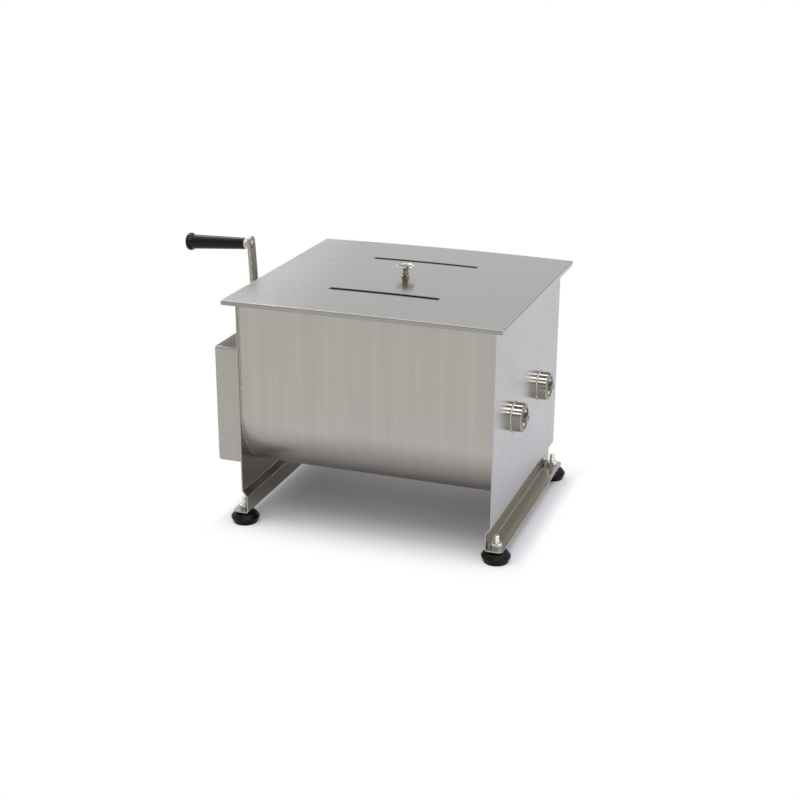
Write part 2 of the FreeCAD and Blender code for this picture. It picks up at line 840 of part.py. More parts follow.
rise = size["knob_height"]
knob = size["knob_radius"]
lid_knob = turned_z("lid_knob", [
    (2.7, 0),
    (6.7, 0),
    (7.2, 0.5),
    (7.2, 1.7),
    (6.4, 2.5),
    (5.3, 3.3),
    (5.3, 4.3),
    (6.3, 5.2),
    (6.3, 7.2, 1.4, 1),
    (4.9, 8.3),
    (4.6, 9.2),
    (4.6, 11),
    (8, 14.6, 6, -1),
    (knob - 1.6, rise - 1.9),
    (knob, rise - 1.2),
    (knob, rise - 0.6),
    (knob - 0.7, rise),
    (knob - 1.7, rise - 0.2),
    (5.5, rise - 3, 38, -1),
    (2.7, rise - 3),
])
keep(place(lid_knob, 0, 0, lid_height), "lid_knob")

screw_seat = rise - 3
knob_screw = turned_z("knob_screw", [
    (0, -8),
    (2.2, -8),
    (2.6, -7.4),
    (2.6, screw_seat),
    (4.4, screw_seat),
    (4.4, screw_seat + 1.2),
    (3, screw_seat + 2.4),
    (0, screw_seat + 2.4),
])
drive = new_sketch(knob_screw, "slot", "XY_Plane", (0, 0, screw_seat + 2.4))
rectangle(drive, -4, -0.5, 4, 0.5)
pocket(knob_screw, drive, 1.2)
keep(place(knob_screw, 0, 0, lid_height), "knob_screw")

knob_nut = hex_nut("knob_nut", 8, 4, 2.62)
keep(place(knob_nut, 0, 0, lid_height - size["lid_sheet"] - 4), "knob_nut")


# Gears

def gear_profile(teeth):
    """Radii of a spur gear and half the width, as an angle, of its tooth gap at a radius."""
    module, slack = size["gear_module"].value, size["tooth_slack"].value
    pressure = math.radians(20)
    pitch = module * teeth / 2
    base = pitch * math.cos(pressure)

    def involute(radius):
        angle = math.acos(min(base / radius, 1))
        return math.tan(angle) - angle

    def half_gap(radius):
        tooth = math.pi / (2 * teeth) - slack / (2 * pitch)
        tooth += involute(pitch) - involute(max(radius, base))
        return math.pi / teeth - tooth

    return pitch + module, pitch - 1.25 * module, base, half_gap


def cut_teeth(body, teeth, phase):
    """Cut all tooth gaps of a blank; the first gap points at the phase angle from +Y."""
    module = size["gear_module"]
    tip, root, base, half_gap = gear_profile(int(number(teeth)))
    foot = max(root, base)
    outside = tip + 0.6

    def at(radius, side):
        angle = side * half_gap(radius)
        return Vector(radius * math.cos(angle), radius * math.sin(angle), 0)

    def corner(point):
        return module * (point.x / module.value), module * (point.y / module.value)

    middle = (foot + outside) / 2
    flank = Part.Arc(at(foot, -1), at(middle, -1), at(outside, -1)).toShape()
    radius = module * (flank.Curve.Radius / module.value)
    low, high = at(foot, -1), at(foot, 1)
    corners = [corner(low), corner(at(outside, -1)) + (radius, -1), corner(at(outside, 1)),
               corner(high) + (radius, -1)]
    if root < base:
        angle = half_gap(base)
        corners.append(corner(Vector(root * math.cos(angle), root * math.sin(angle), 0)))
        corners.append(corner(Vector(root * math.cos(angle), -root * math.sin(angle), 0)))
    turn = FreeCAD.Rotation(Vector(0, 0, 1), phase)
    gap = outline(new_sketch(body, "gap", "YZ_Plane", turn=turn), corners)
    cut = pocket(body, gap)
    repeat_round(body, cut, (gap, ["N_Axis"]), teeth)


def keyway(body, length=None):
    """Key slot through a bore, towards +Z."""
    slot = new_sketch(body, "keyway", "YZ_Plane")
    rectangle(slot, -2, 0, 2, size["seat_radius"] + 2.5)
    pocket(body, slot)


gear_x = -(size["gear_start"] + size["gear_width"] / 2)
half_face = size["gear_width"] / 2
mesh_angle = math.degrees(math.atan2(size["crank_rise"].value, size["shaft_offset"].value))
pinion_pitch = 360 / size["pinion_teeth"].value
# a pinion tooth points at the front gear; what is left over at the rear gear turns that one
pinion_phase = mesh_angle + 180 + pinion_pitch / 2
left_over = (-mesh_angle - (mesh_angle + 180)) % pinion_pitch
rear_phase = 180 - mesh_angle + left_over * size["pinion_teeth"].value / size["gear_teeth"].value


def drive_gear(row, y, phase):
    """Shaft gear with a thinner web between hub and rim, and six round openings in it."""
    label = f"drive_gear_{row}"
    tip = size["gear_module"] * (size["gear_teeth"] / 2 + 1)
    root = size["gear_module"] * (size["gear_teeth"] / 2 - 1.25)
    rim, hub, web = root - 8, 18, 3
    bore = size["seat_radius"] + 0.02
    body = turned_x(label, [
        (-half_face, bore), (-half_face, hub), (-web, hub + 1), (-web, rim - 1),
        (-half_face, rim), (-half_face, tip), (half_face, tip), (half_face, rim),
        (web, rim - 1), (web, hub + 1), (half_face, hub), (half_face, bore),
    ])
    openings = circle(new_sketch(body, "opening", "YZ_Plane"), (rim + hub) / 2, 0, 13)
    cut = pocket(body, openings)
    repeat_round(body, cut, (openings, ["N_Axis"]), 6)
    cut_teeth(body, size["gear_teeth"], phase)
    keyway(body)
    place(body, gear_x, y, shaft_height)
    return keep(body, label)


drive_gear("front", -shaft_offset, mesh_angle)
drive_gear("rear", shaft_offset, rear_phase)

drive_pinion = turned_x("drive_pinion", [
    (-half_face - 1, size["seat_radius"] + 0.02),
    (-half_face - 1, 20),
    (-half_face, size["gear_module"] * (size["pinion_teeth"] / 2 + 1)),
    (half_face, size["gear_module"] * (size["pinion_teeth"] / 2 + 1)),
    (half_face + 1, 20),
    (half_face + 1, size["seat_radius"] + 0.02),
])
cut_teeth(drive_pinion, size["pinion_teeth"], pinion_phase)
keyway(drive_pinion)
keep(place(drive_pinion, gear_x, 0, crank_height), "drive_pinion")


def gear_key(label, y, z):
    """Square key between a shaft and its gear."""
    key = doc.addObject("Part::Box", label)
    length = size["gear_width"] - 1
    for prop, amount in (("Length", length), ("Width", 4.0), ("Height", 5.0)):
        setattr(key, prop, number(amount))
        bind(key, prop, amount)
    place(key, gear_x - length / 2, y - 2, z + size["seat_radius"] - 2.5)
    return keep(key, label)


gear_key("gear_key_front", -shaft_offset, shaft_height)
gear_key("gear_key_rear", shaft_offset, shaft_height)
gear_key("pinion_key", measure(0), crank_height)


# Paddle shafts

thread = 7.0
gear_far = size["gear_start"] + size["gear_width"]
washer_x = recess_floor + 0.3


def pin_holes(body, stations, radius):
    """Cross holes for the paddle pins, across Y and Z by turns."""
    for plane, parity in (("XZ_Plane", 0), ("XY_Plane", 1)):
        chosen = [x for index, x in enumerate(stations) if index % 2 == parity]
        holes = new_sketch(body, f"pin_holes_{parity}", plane)
        for x in chosen:
            circle(holes, x, 0, radius)
        pocket(body, holes)


def paddle_shaft(row, y, stations):
    label = f"paddle_shaft_{row}"
    radius, seat, tail = size["shaft_radius"], size["seat_radius"], size["end_radius"]
    body = turned_x(label, [
        (-(gear_far + 9), 0),
        (-(gear_far + 9), thread - 1),
        (-(gear_far + 8), thread),
        (-gear_far, thread),
        (-gear_far, seat),
        (-size["gear_start"], seat),
        (-size["gear_start"], journal),
        (-(half_width + 0.7), journal),
        (-(half_width + 0.7), radius),
        (half_width + 0.7, radius),
        (half_width + 0.7, journal),
        (washer_x, journal),
        (washer_x, tail),
        (washer_x + 8, tail),
        (washer_x + 8.8, tail - 0.8),
        (washer_x + 8.8, 0),
    ])
    # the slot for the gear key
    slot = new_sketch(body, "key_slot", "XY_Plane", (0, 0, seat))
    length = size["gear_width"] - 1
    rectangle(slot, gear_x - length / 2, -2, gear_x + length / 2, 2)
    pocket(body, slot, 2.5)
    pin_holes(body, stations, 2.5)
    place(body, 0, y, shaft_height)
    return keep(body, label)


def paddle(label, x, y, quarter):
    """Collar with two opposite blades, each turned about its own arm like a propeller's."""
    body = new_body(label)
    bore = size["shaft_radius"] + 0.02
    ring = new_sketch(body, "collar", "YZ_Plane")
    circle(ring, 0, 0, size["collar_radius"])
    pad(body, ring, size["collar_length"], middle=True)
    tip, wide = size["paddle_radius"], size["blade_width"] / 2
    turn = FreeCAD.Rotation(Vector(0, 1, 0), size["blade_pitch"].value)
    blade = new_sketch(body, "blade", "XZ_Plane", turn=turn)
    start = size["collar_radius"] - 4
    outline(blade, [
        (-11, start), (11, start), (11, start + 16), (wide, start + 38),
        (wide, tip - 12), (wide - 10, tip - 2), (10 - wide, tip - 2), (-wide, tip - 12),
        (-wide, start + 38), (-11, start + 16),
    ])
    arm = pad(body, blade, size["blade_thick"], middle=True)
    spin = [item for item in body.Origin.OriginFeatures if item.Role == "X_Axis"][0]
    repeat_round(body, arm, (spin, [""]), 2)
    hole = circle(new_sketch(body, "bore", "YZ_Plane"), 0, 0, bore)
    pocket(body, hole)
    pin = circle(new_sketch(body, "pin_hole", "XZ_Plane"), 0, 0, 2.5)
    pocket(body, pin)
    place(body, x, y, shaft_height, about_x(90 * quarter))
    return keep(body, label)


def paddle_pins(row, y, stations):
    """Cross pins that hold the paddles on their shaft."""
    pins = []
    length = size["collar_radius"] * 2 + 2
    for index, x in enumerate(stations):
        pin = doc.addObject("Part::Cylinder", f"pin_{row}_{index + 1}")
        pin.Radius = 2.48
        pin.Height = number(length)
        bind(pin, "Height", length)
        if index % 2:
            place(pin, x, y, shaft_height - length / 2)
        else:
            turn = FreeCAD.Rotation(Vector(1, 0, 0), 90)
            place(pin, x, y + length / 2, shaft_height, turn)
        pins.append(pin)
    return group(f"paddle_pins_{row}", pins)


step = size["paddle_step"]
rows = {
    "front": (-shaft_offset, [step * k for k in (-2, -1, 0, 1, 2)]),
    "rear": (shaft_offset, [step * k for k in (-1.5, -0.5, 0.5, 1.5)]),
}
for row, (y, stations) in rows.items():
    paddle_shaft(row, y, stations)
    for index, x in enumerate(stations):
        paddle(f"paddle_{row}_{index + 1}", x, y, index)
    paddle_pins(row, y, stations)

    gear_nut = hex_nut(f"gear_nut_{row}", 22, 7, thread + 0.02)
    keep(place(gear_nut, -gear_far, y, shaft_height, ALONG_MINUS_X), f"gear_nut_{row}")
    washer = turned_x(f"shaft_washer_{row}", [
        (0, size["end_radius"] + 0.02), (0, 14), (1.2, 14), (1.5, 13.7),
        (1.5, size["end_radius"] + 0.02),
    ])
    keep(place(washer, washer_x, y, shaft_height), f"shaft_washer_{row}")
    end_nut = hex_nut(f"shaft_nut_{row}", 17, 6.5, size["end_radius"] + 0.02)
    keep(place(end_nut, washer_x + 1.5, y, shaft_height, ALONG_X), f"shaft_nut_{row}")


# Crank

boss_near = cover_face + 2.3
boss_far = boss_near + 12.7
square = 5.5
crank_shaft = turned_x("crank_shaft", [
    (-(half_width + 3), 0),
    (-(half_width + 3), crank_radius - 0.5),
    (-(half_width + 3.5), crank_radius),
    (-(boss_face + 0.3), crank_radius),
    (-(boss_face + 0.3), 11),
    (-(size["gear_start"] - 1), 11),
    (-(size["gear_start"] - 1), crank_radius),
    (-boss_near, crank_radius),
    (-boss_near, 5),
    (-(boss_far + 9), 5),
    (-(boss_far + 10), 4),
    (-(boss_far + 10), 0),
])
end = new_sketch(crank_shaft, "square", "YZ_Plane", (0, 0, -boss_near))
rectangle(end, -square, -square, square, square)
pad(crank_shaft, end, boss_far - boss_near - 0.3, back=True)
slot = new_sketch(crank_shaft, "key_slot", "XY_Plane", (0, 0, size["seat_radius"]))
key_half = (size["gear_width"] - 1) / 2
rectangle(slot, gear_x - key_half, -2, gear_x + key_half, 2)
pocket(crank_shaft, slot, 2.5)
keep(place(crank_shaft, 0, 0, crank_height), "crank_shaft")

lean = size["crank_lean"]
half_bar = size["arm_thick"] / 2
arm_middle = size["arm_middle"]
bend = size["arm_bend"]


def along_arm(length, off):
    """A point at a length above the bend, and off the bar's middle towards the panel."""
    return off * lean.cosine() - length * lean.sine(), bend + length * lean.cosine() + off * lean.sine()


def crank_arm():
    """Flat bar, bent outwards above its boss, with a square hole and the spindle hole."""
    body = new_body("crank_arm")
    reach = size["crank_reach"]
    end = reach + size["arm_end"]
    ease = (lean / 2).sine() / (lean / 2).cosine() * half_bar
    section = new_sketch(body, "section", "XZ_Plane")
    outline(section, [
        (-half_bar, -10), (half_bar, -10), (half_bar, bend + ease), along_arm(end, half_bar),
        along_arm(end, -half_bar), (-half_bar, bend - ease),
    ])
    pad(body, section, size["arm_width"], middle=True)
    top = number(along_arm(end, 0)[1])
    round_edges(body, size["arm_width"] / 2 - 0.1,
                lambda p, e: abs(p.z - top) < 1 and close(p.y, size["arm_width"] / 2))
    boss = new_sketch(body, "boss", "YZ_Plane", (0, 0, arm_middle - boss_near))
    circle(boss, 0, 0, 15)
    pad(body, boss, boss_far - boss_near, back=True)
    hole = new_sketch(body, "square", "YZ_Plane")
    rectangle(hole, -square - 0.03, -square - 0.03, square + 0.03, square + 0.03)
    pocket(body, hole)
    x, z = along_arm(reach, 0)
    tilt = FreeCAD.Rotation(Vector(1, 0, 0), -lean.value)
    spindle = new_sketch(body, "spindle_hole", "YZ_Plane", (0, z, x), tilt)
    circle(spindle, 0, 0, 5.02)
    pocket(body, spindle, 30, middle=True)
    place(body, -arm_middle, 0, crank_height)
    return keep(body, "crank_arm")


crank_arm()

crank_nut = hex_nut("crank_nut", 17, 8, 5.02)
keep(place(crank_nut, -boss_far, 0, crank_height, ALONG_MINUS_X), "crank_nut")


# Grip: it turns on a spindle square to the leaning arm; its own +X points outwards

grip_turn = FreeCAD.Rotation(Vector(0, 1, 0), -lean.value) * FreeCAD.Rotation(Vector(0, 0, 1), 180)
pin_x, pin_z = along_arm(size["crank_reach"], 0)


def place_on_spindle(item):
    return place(item, pin_x - arm_middle, 0, crank_height + pin_z, grip_turn)


grip_near = size["grip_start"]
grip_far = grip_near + size["grip_length"]
grip_end = size["grip_end_radius"]
grip_bolt = turned_x("grip_bolt", [
    (-half_bar - 2.2, 0),
    (-half_bar - 2.2, 4.4),
    (-half_bar - 1.2, 6.4),
    (-half_bar, 7),
    (-half_bar, 5),
    (grip_far - 7, 5),
    (grip_far - 7, 8.5),
    (grip_far - 2.5, 8.5),
    (grip_far - 1.5, 7.5),
    (grip_far - 1.5, 0),
])
keep(place_on_spindle(grip_bolt), "grip_bolt")

grip_nut = hex_nut("grip_nut", 17, grip_near - half_bar - 0.3, 5.02)
keep(place(grip_nut, pin_x - arm_middle - half_bar * lean.cosine(), 0,
           crank_height + pin_z - half_bar * lean.sine(),
           FreeCAD.Rotation(Vector(0, 1, 0), -lean.value) * ALONG_MINUS_X), "grip_nut")

grip_handle = turned_x("grip_handle", [
    (grip_near, 5 + fit),
    (grip_near, 9.6),
    (grip_near + 0.8, 10.3),
    (grip_far - 15, 13),
    (grip_far - 8, grip_end, 12, 1),
    (grip_far - 4, grip_end),
    (grip_far, grip_end - 5, 5.5, -1),
    (grip_far, 9.3),
    (grip_far - 7.3, 9.3),
    (grip_far - 7.3, 5 + fit),
])
keep(place_on_spindle(grip_handle), "grip_handle")


# Checks, then one STEP file for each sub-part

doc.recompute()
for item in doc.Objects:
    if "Invalid" in item.State or "Error" in item.State:
        raise RuntimeError(f"{item.Label}: {item.State}")
whole = FreeCAD.BoundBox()
for item in SUBPARTS:
    if item.Shape.isNull() or not item.Shape.isValid():
        raise RuntimeError(f"{item.Label}: bad shape")
    whole.add(item.Shape.BoundBox)
    item.Shape.exportStep(f"parts/{item.Label}.step")
print(len(SUBPARTS), "sub-parts", whole)
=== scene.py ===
"""Dresses the hand-cranked meat mixer: steel finishes, weld beads, screw threads, stage.

Lengths are metres in the CAD frame: origin on the floor, +Z up, -Y the front of the tub,
-X the end with the gear cover and the crank.
"""

import math

import bpy
import numpy as np
from bpy.props import FloatProperty, FloatVectorProperty, PointerProperty
from mathutils import Matrix, Vector


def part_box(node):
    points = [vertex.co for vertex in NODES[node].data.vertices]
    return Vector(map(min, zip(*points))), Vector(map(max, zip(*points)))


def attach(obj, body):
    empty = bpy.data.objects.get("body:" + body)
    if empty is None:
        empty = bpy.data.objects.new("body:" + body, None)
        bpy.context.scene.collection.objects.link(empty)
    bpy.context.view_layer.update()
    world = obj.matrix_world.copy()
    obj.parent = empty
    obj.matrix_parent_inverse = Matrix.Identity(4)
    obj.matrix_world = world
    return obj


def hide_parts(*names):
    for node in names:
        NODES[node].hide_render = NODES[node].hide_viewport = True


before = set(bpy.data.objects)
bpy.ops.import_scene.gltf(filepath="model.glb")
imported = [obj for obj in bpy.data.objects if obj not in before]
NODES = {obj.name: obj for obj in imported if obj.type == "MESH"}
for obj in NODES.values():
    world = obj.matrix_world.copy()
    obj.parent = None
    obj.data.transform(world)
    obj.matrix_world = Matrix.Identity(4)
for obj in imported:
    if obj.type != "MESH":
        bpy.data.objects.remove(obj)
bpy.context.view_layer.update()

bl_info = {
    "name": "Meat mixer finish",
    "version": (1, 1, 0),
    "blender": (4, 5, 0),
    "location": "View3D > Sidebar > Mixer",
    "description": "Finishes, welds, threads and stage for a hand-cranked meat mixer",
    "category": "Object",
}

MM = 0.001
X, Y, Z = 0, 1, 2

# How bright the studio's walls are in mirrors, as (degrees, level) about X: 0 is the front
# horizon, 90 straight up and 180 the rear horizon
FAR_LEFT_WALL = ((0, 0.7), (40, 0.7), (60, 0.8), (72, 1.8), (100, 1.8), (119, 1.5), (121, 16.0),
                 (126, 16.0), (128, 1.3), (140, 1.3), (158, 1.1), (180, 1.1))
LEFT_WALL = ((0, 0.6), (40, 0.6), (60, 0.7), (72, 2.0), (100, 2.0), (118, 1.3), (140, 1.1),
             (158, 0.84), (180, 0.84))
RIGHT_WALL = ((0, 1.0), (22, 1.0), (30, 0.3), (39, 0.3), (42, 4.6), (51, 4.6), (54, 0.25),
              (67, 0.25), (70, 6.6), (81, 6.6), (84, 0.25), (108, 0.25), (111, 6.0),
              (122, 6.0), (125, 0.4), (180, 0.7))
WHITE = (1.0, 1.0, 1.0, 1.0)


# Colours and nodes


def linear(hex_code):
    """A hex sRGB colour as the linear RGBA that shader sockets take."""
    parts = [int(hex_code[i : i + 2], 16) / 255 for i in (1, 3, 5)]
    return (*(c / 12.92 if c <= 0.04045 else ((c + 0.055) / 1.055) ** 2.4 for c in parts), 1.0)


def shade(colour, level):
    """A linear colour made darker or lighter."""
    return (*(c * level for c in colour[:3]), 1.0)


def add(tree, kind, sockets=None, **settings):
    """Add a node. Settings are its attributes; sockets maps an input to a value or an output."""
    made = tree.nodes.new(kind)
    for name, value in settings.items():
        setattr(made, name, value)
    for key, value in (sockets or {}).items():
        if isinstance(value, bpy.types.NodeSocket):
            tree.links.new(value, made.inputs[key])
        else:
            made.inputs[key].default_value = value
    return made


def cells(*sizes):
    """Noise cells per metre along X, Y and Z for cell sizes in millimetres."""
    return tuple(1000 / size for size in sizes)


class Finish:
    """One material: its tree, its Principled shader with the even values set, and the
    Object coordinates that its patterns read."""

    def __init__(self, name, **even):
        self.material = bpy.data.materials.new(name)
        self.material.use_nodes = True
        self.tree = self.material.node_tree
        self.shader = self.tree.nodes["Principled BSDF"]
        for key, value in even.items():
            self.shader.inputs[key.replace("_", " ")].default_value = value
        self.place = add(self.tree, "ShaderNodeTexCoord").outputs["Object"]

    def drive(self, **outputs):
        """Link outputs to the shader's sockets."""
        for key, output in outputs.items():
            self.tree.links.new(output, self.shader.inputs[key.replace("_", " ")])
        return self

    def under(self, key):
        """The output that drives one of the shader's sockets so far."""
        return self.shader.inputs[key].links[0].from_socket

    def stain(self, where, colour):
        """Lay a colour over the finish's own colour: none where the mask is 0, all at 1. Real
        stains and painted shade both use it.
        """
        overlaid = add(self.tree, "ShaderNodeMix",
                      {0: where, 6: self.under("Base Color"), 7: colour}, data_type="RGBA")
        self.drive(Base_Color=overlaid.outputs[2])


# Finishes


def brushed_stainless(name, tint, roughness, hairline, smear_axis, contrast=0.05, smear=0.75):
    """Austenitic stainless sheet, cold rolled and then dry brushed with a 240 grit belt.
    The eye sees a satin grey with hairlines along the belt's travel, and reflections that
    smear across the hairlines but stay sharp along them. Real hairlines are about 0.1 mm
    wide, too fine to show, so they are drawn 1.4 mm wide (hairline gives a cell's size
    in mm along X, Y and Z), with 12 mm wide bands from the belt's uneven wear."""
    steel = Finish(name, Metallic=1.0, Roughness=roughness, Anisotropic=smear)
    tree = steel.tree
    fine = add(tree, "ShaderNodeMapping", {"Vector": steel.place, "Scale": cells(*hairline)})
    hair = add(tree, "ShaderNodeTexNoise",
               {"Vector": fine.outputs[0], "Scale": 1.0, "Detail": 2.0, "Roughness": 0.5})
    wide = add(tree, "ShaderNodeMapping",
               {"Vector": steel.place, "Scale": cells(*(8.5 * size for size in hairline))})
    band = add(tree, "ShaderNodeTexNoise",
               {"Vector": wide.outputs[0], "Scale": 1.0, "Detail": 2.0, "Roughness": 0.4})
    both = add(tree, "ShaderNodeMath", {0: hair.outputs[0], 1: band.outputs[0]}, operation="ADD")
    streak = add(tree, "ShaderNodeMapRange",
                 {"Value": both.outputs[0], "From Min": 0.65, "From Max": 1.35})
    dark, light = shade(tint, 1 - contrast), shade(tint, 1 + contrast)
    colour = add(tree, "ShaderNodeMix", {0: streak.outputs[0], 6: dark, 7: light},
                 data_type="RGBA")
    # hand marks about 90 mm across that dull the sheet a little
    marks = add(tree, "ShaderNodeTexNoise",
                {"Vector": steel.place, "Scale": 1000 / 90, "Detail": 3.0, "Roughness": 0.6})
    gloss = add(tree, "ShaderNodeMapRange",
                {"Value": marks.outputs[0], "From Min": 0.3, "From Max": 0.7,
                 "To Min": roughness * 0.88, "To Max": roughness * 1.12})
    relief = add(tree, "ShaderNodeBump",
                 {"Height": hair.outputs[0], "Strength": 0.05, "Distance": 0.1 * MM})
    # the tangent runs round smear_axis, and reflections smear along the tangent
    across = add(tree, "ShaderNodeTangent", direction_type="RADIAL", axis=smear_axis)
    return steel.drive(Base_Color=colour.outputs[2], Roughness=gloss.outputs[0],
                       Normal=relief.outputs[0], Tangent=across.outputs[0])


def turned_stainless(name, tint):
    """Stainless bar turned on a lathe with a feed of about 0.15 mm and then polished with
    a cloth. The eye sees near mirror metal with crisp bands along the bar, smeared
    lengthwise. The feed marks are too fine to show, so they are drawn 0.9 mm apart."""
    steel = Finish(name, Metallic=1.0, Roughness=0.09, Anisotropic=0.5, Anisotropic_Rotation=0.25)
    tree = steel.tree
    rings = add(tree, "ShaderNodeMapping", {"Vector": steel.place, "Scale": cells(0.9, 90, 90)})
    ridge = add(tree, "ShaderNodeTexNoise",
                {"Vector": rings.outputs[0], "Scale": 1.0, "Detail": 2.0, "Roughness": 0.5})
    colour = add(tree, "ShaderNodeMix",
                 {0: ridge.outputs[0], 6: shade(tint, 0.85), 7: shade(tint, 1.12)},
                 data_type="RGBA")
    gloss = add(tree, "ShaderNodeMapRange",
                {"Value": ridge.outputs[0], "From Min": 0.3, "From Max": 0.7,
                 "To Min": 0.06, "To Max": 0.1})
    round_axis = add(tree, "ShaderNodeTangent", direction_type="RADIAL", axis="X")
    steel.drive(Base_Color=colour.outputs[2], Roughness=gloss.outputs[0],
                Tangent=round_axis.outputs[0])
    # the right hand end faces are darker
    face_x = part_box("bearing_housing_right_front")[1][X] - 1.2 * MM
    parts = add(tree, "ShaderNodeSeparateXYZ", {0: steel.place})
    face = add(tree, "ShaderNodeMapRange",
               {"Value": parts.outputs[X], "From Min": face_x, "From Max": face_x + 0.2 * MM,
                "To Max": 0.8})
    steel.stain(face.outputs[0], shade(tint, 0.3))
    return steel


def machined_steel(name, tint, roughness=0.2):
    """Bright screws, nuts and washers of cold formed stainless steel, tumbled. The eye
    sees small bright facets with soft 3 mm cloudy patches."""
    steel = Finish(name, Metallic=1.0, Roughness=roughness)
    tree = steel.tree
    cloud = add(tree, "ShaderNodeTexNoise",
                {"Vector": steel.place, "Scale": 1000 / 3, "Detail": 3.0, "Roughness": 0.55})
    colour = add(tree, "ShaderNodeMix",
                 {0: cloud.outputs[0], 6: shade(tint, 0.82), 7: shade(tint, 1.12)},
                 data_type="RGBA")
    gloss = add(tree, "ShaderNodeMapRange",
                {"Value": cloud.outputs[0], "From Min": 0.3, "From Max": 0.7,
                 "To Min": roughness * 0.75, "To Max": roughness * 1.35})
    return steel.drive(Base_Color=colour.outputs[2], Roughness=gloss.outputs[0])


def zinc_plate(name, tint):
    """Steel bolts and nuts, zinc plated and blue passivated. The eye sees a bright cool
    grey with faint milky patches, 2.5 mm across."""
    zinc = Finish(name, Metallic=1.0, Roughness=0.24)
    tree = zinc.tree
    patch = add(tree, "ShaderNodeTexNoise",
                {"Vector": zinc.place, "Scale": 1000 / 2.5, "Detail": 4.0, "Roughness": 0.6})
    spread = add(tree, "ShaderNodeMapRange",
                 {"Value": patch.outputs[0], "From Min": 0.35, "From Max": 0.65})
    colour = add(tree, "ShaderNodeMix",
                 {0: spread.outputs[0], 6: shade(tint, 0.7), 7: tint}, data_type="RGBA")
    gloss = add(tree, "ShaderNodeMapRange",
                {"Value": patch.outputs[0], "From Min": 0.35, "From Max": 0.65,
                 "To Min": 0.26, "To Max": 0.13})
    return zinc.drive(Base_Color=colour.outputs[2], Roughness=gloss.outputs[0])


def polished_nickel(name, tint, warm):
    """Brass knob, cast, polished and nickel plated. The eye sees a mirror with hard dark
    and light edges, cool in the dish and yellower on the stem and under the dish, where
    plating is thin: below a cone that lies between the dish's two faces."""
    nickel = Finish(name, Metallic=1.0, Roughness=0.08)
    tree = nickel.tree
    low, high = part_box("lid_knob")
    parts = add(tree, "ShaderNodeSeparateXYZ", {0: nickel.place})
    flat = add(tree, "ShaderNodeCombineXYZ", {0: parts.outputs[X], 1: parts.outputs[Y]})
    radius = add(tree, "ShaderNodeVectorMath",
                 {0: flat.outputs[0], 1: ((low[X] + high[X]) / 2, (low[Y] + high[Y]) / 2, 0)},
                 operation="DISTANCE")
    above = add(tree, "ShaderNodeMath",
                {0: radius.outputs["Value"], 1: -0.33, 2: parts.outputs[Z]},
                operation="MULTIPLY_ADD")
    dish = add(tree, "ShaderNodeMapRange",
               {"Value": above.outputs[0], "From Min": low[Z] + 13.4 * MM,
                "From Max": low[Z] + 14 * MM})
    # 4 mm patches where polishing has gone deeper
    worn = add(tree, "ShaderNodeTexNoise",
               {"Vector": nickel.place, "Scale": 1000 / 4, "Detail": 3.0, "Roughness": 0.5})
    stem = add(tree, "ShaderNodeMix",
               {0: worn.outputs[0], 6: shade(warm, 0.8), 7: shade(warm, 1.1)}, data_type="RGBA")
    # the hollow is painted darker and the rim lighter: painted shade in the hollow and a painted
    # highlight on the rim
    rim = add(tree, "ShaderNodeMapRange",
              {"Value": radius.outputs["Value"], "From Min": 11.5 * MM, "From Max": 14 * MM})
    painted_dish_light = add(tree, "ShaderNodeMix",
               {0: rim.outputs[0], 6: shade(tint, 0.55), 7: shade(tint, 1.25)}, data_type="RGBA")
    colour = add(tree, "ShaderNodeMix",
                 {0: dish.outputs[0], 6: stem.outputs[2], 7: painted_dish_light.outputs[2]}, data_type="RGBA")
    gloss = add(tree, "ShaderNodeMapRange",
                {"Value": worn.outputs[0], "From Min": 0.3, "From Max": 0.7,
                 "To Min": 0.08, "To Max": 0.16})
    return nickel.drive(Base_Color=colour.outputs[2], Roughness=gloss.outputs[0])


def ground_bar(name, tint, stain):
    """Stainless flat bar, hot rolled, belt ground and welded to its boss. The eye sees a
    dull grey with 2 mm wide grinding lines along the bar and brown stains, 9 mm across,
    left by the weld's heat."""
    bar = Finish(name, Metallic=1.0, Roughness=0.3)
    tree = bar.tree
    fine = add(tree, "ShaderNodeMapping", {"Vector": bar.place, "Scale": cells(2, 2, 40)})
    line = add(tree, "ShaderNodeTexNoise",
               {"Vector": fine.outputs[0], "Scale": 1.0, "Detail": 3.0, "Roughness": 0.5})
    spot = add(tree, "ShaderNodeTexNoise",
               {"Vector": bar.place, "Scale": 1000 / 9, "Detail": 4.0, "Roughness": 0.65})
    where = add(tree, "ShaderNodeMapRange",
                {"Value": spot.outputs[0], "From Min": 0.5, "From Max": 0.72, "To Max": 0.75})
    clean = add(tree, "ShaderNodeMix",
                {0: line.outputs[0], 6: shade(tint, 0.8), 7: shade(tint, 1.15)},
                data_type="RGBA")
    colour = add(tree, "ShaderNodeMix",
                 {0: where.outputs[0], 6: clean.outputs[2], 7: stain}, data_type="RGBA")
    gloss = add(tree, "ShaderNodeMapRange",
                {"Value": line.outputs[0], "From Min": 0.3, "From Max": 0.7,
                 "To Min": 0.24, "To Max": 0.38})
    return bar.drive(Base_Color=colour.outputs[2], Roughness=gloss.outputs[0])


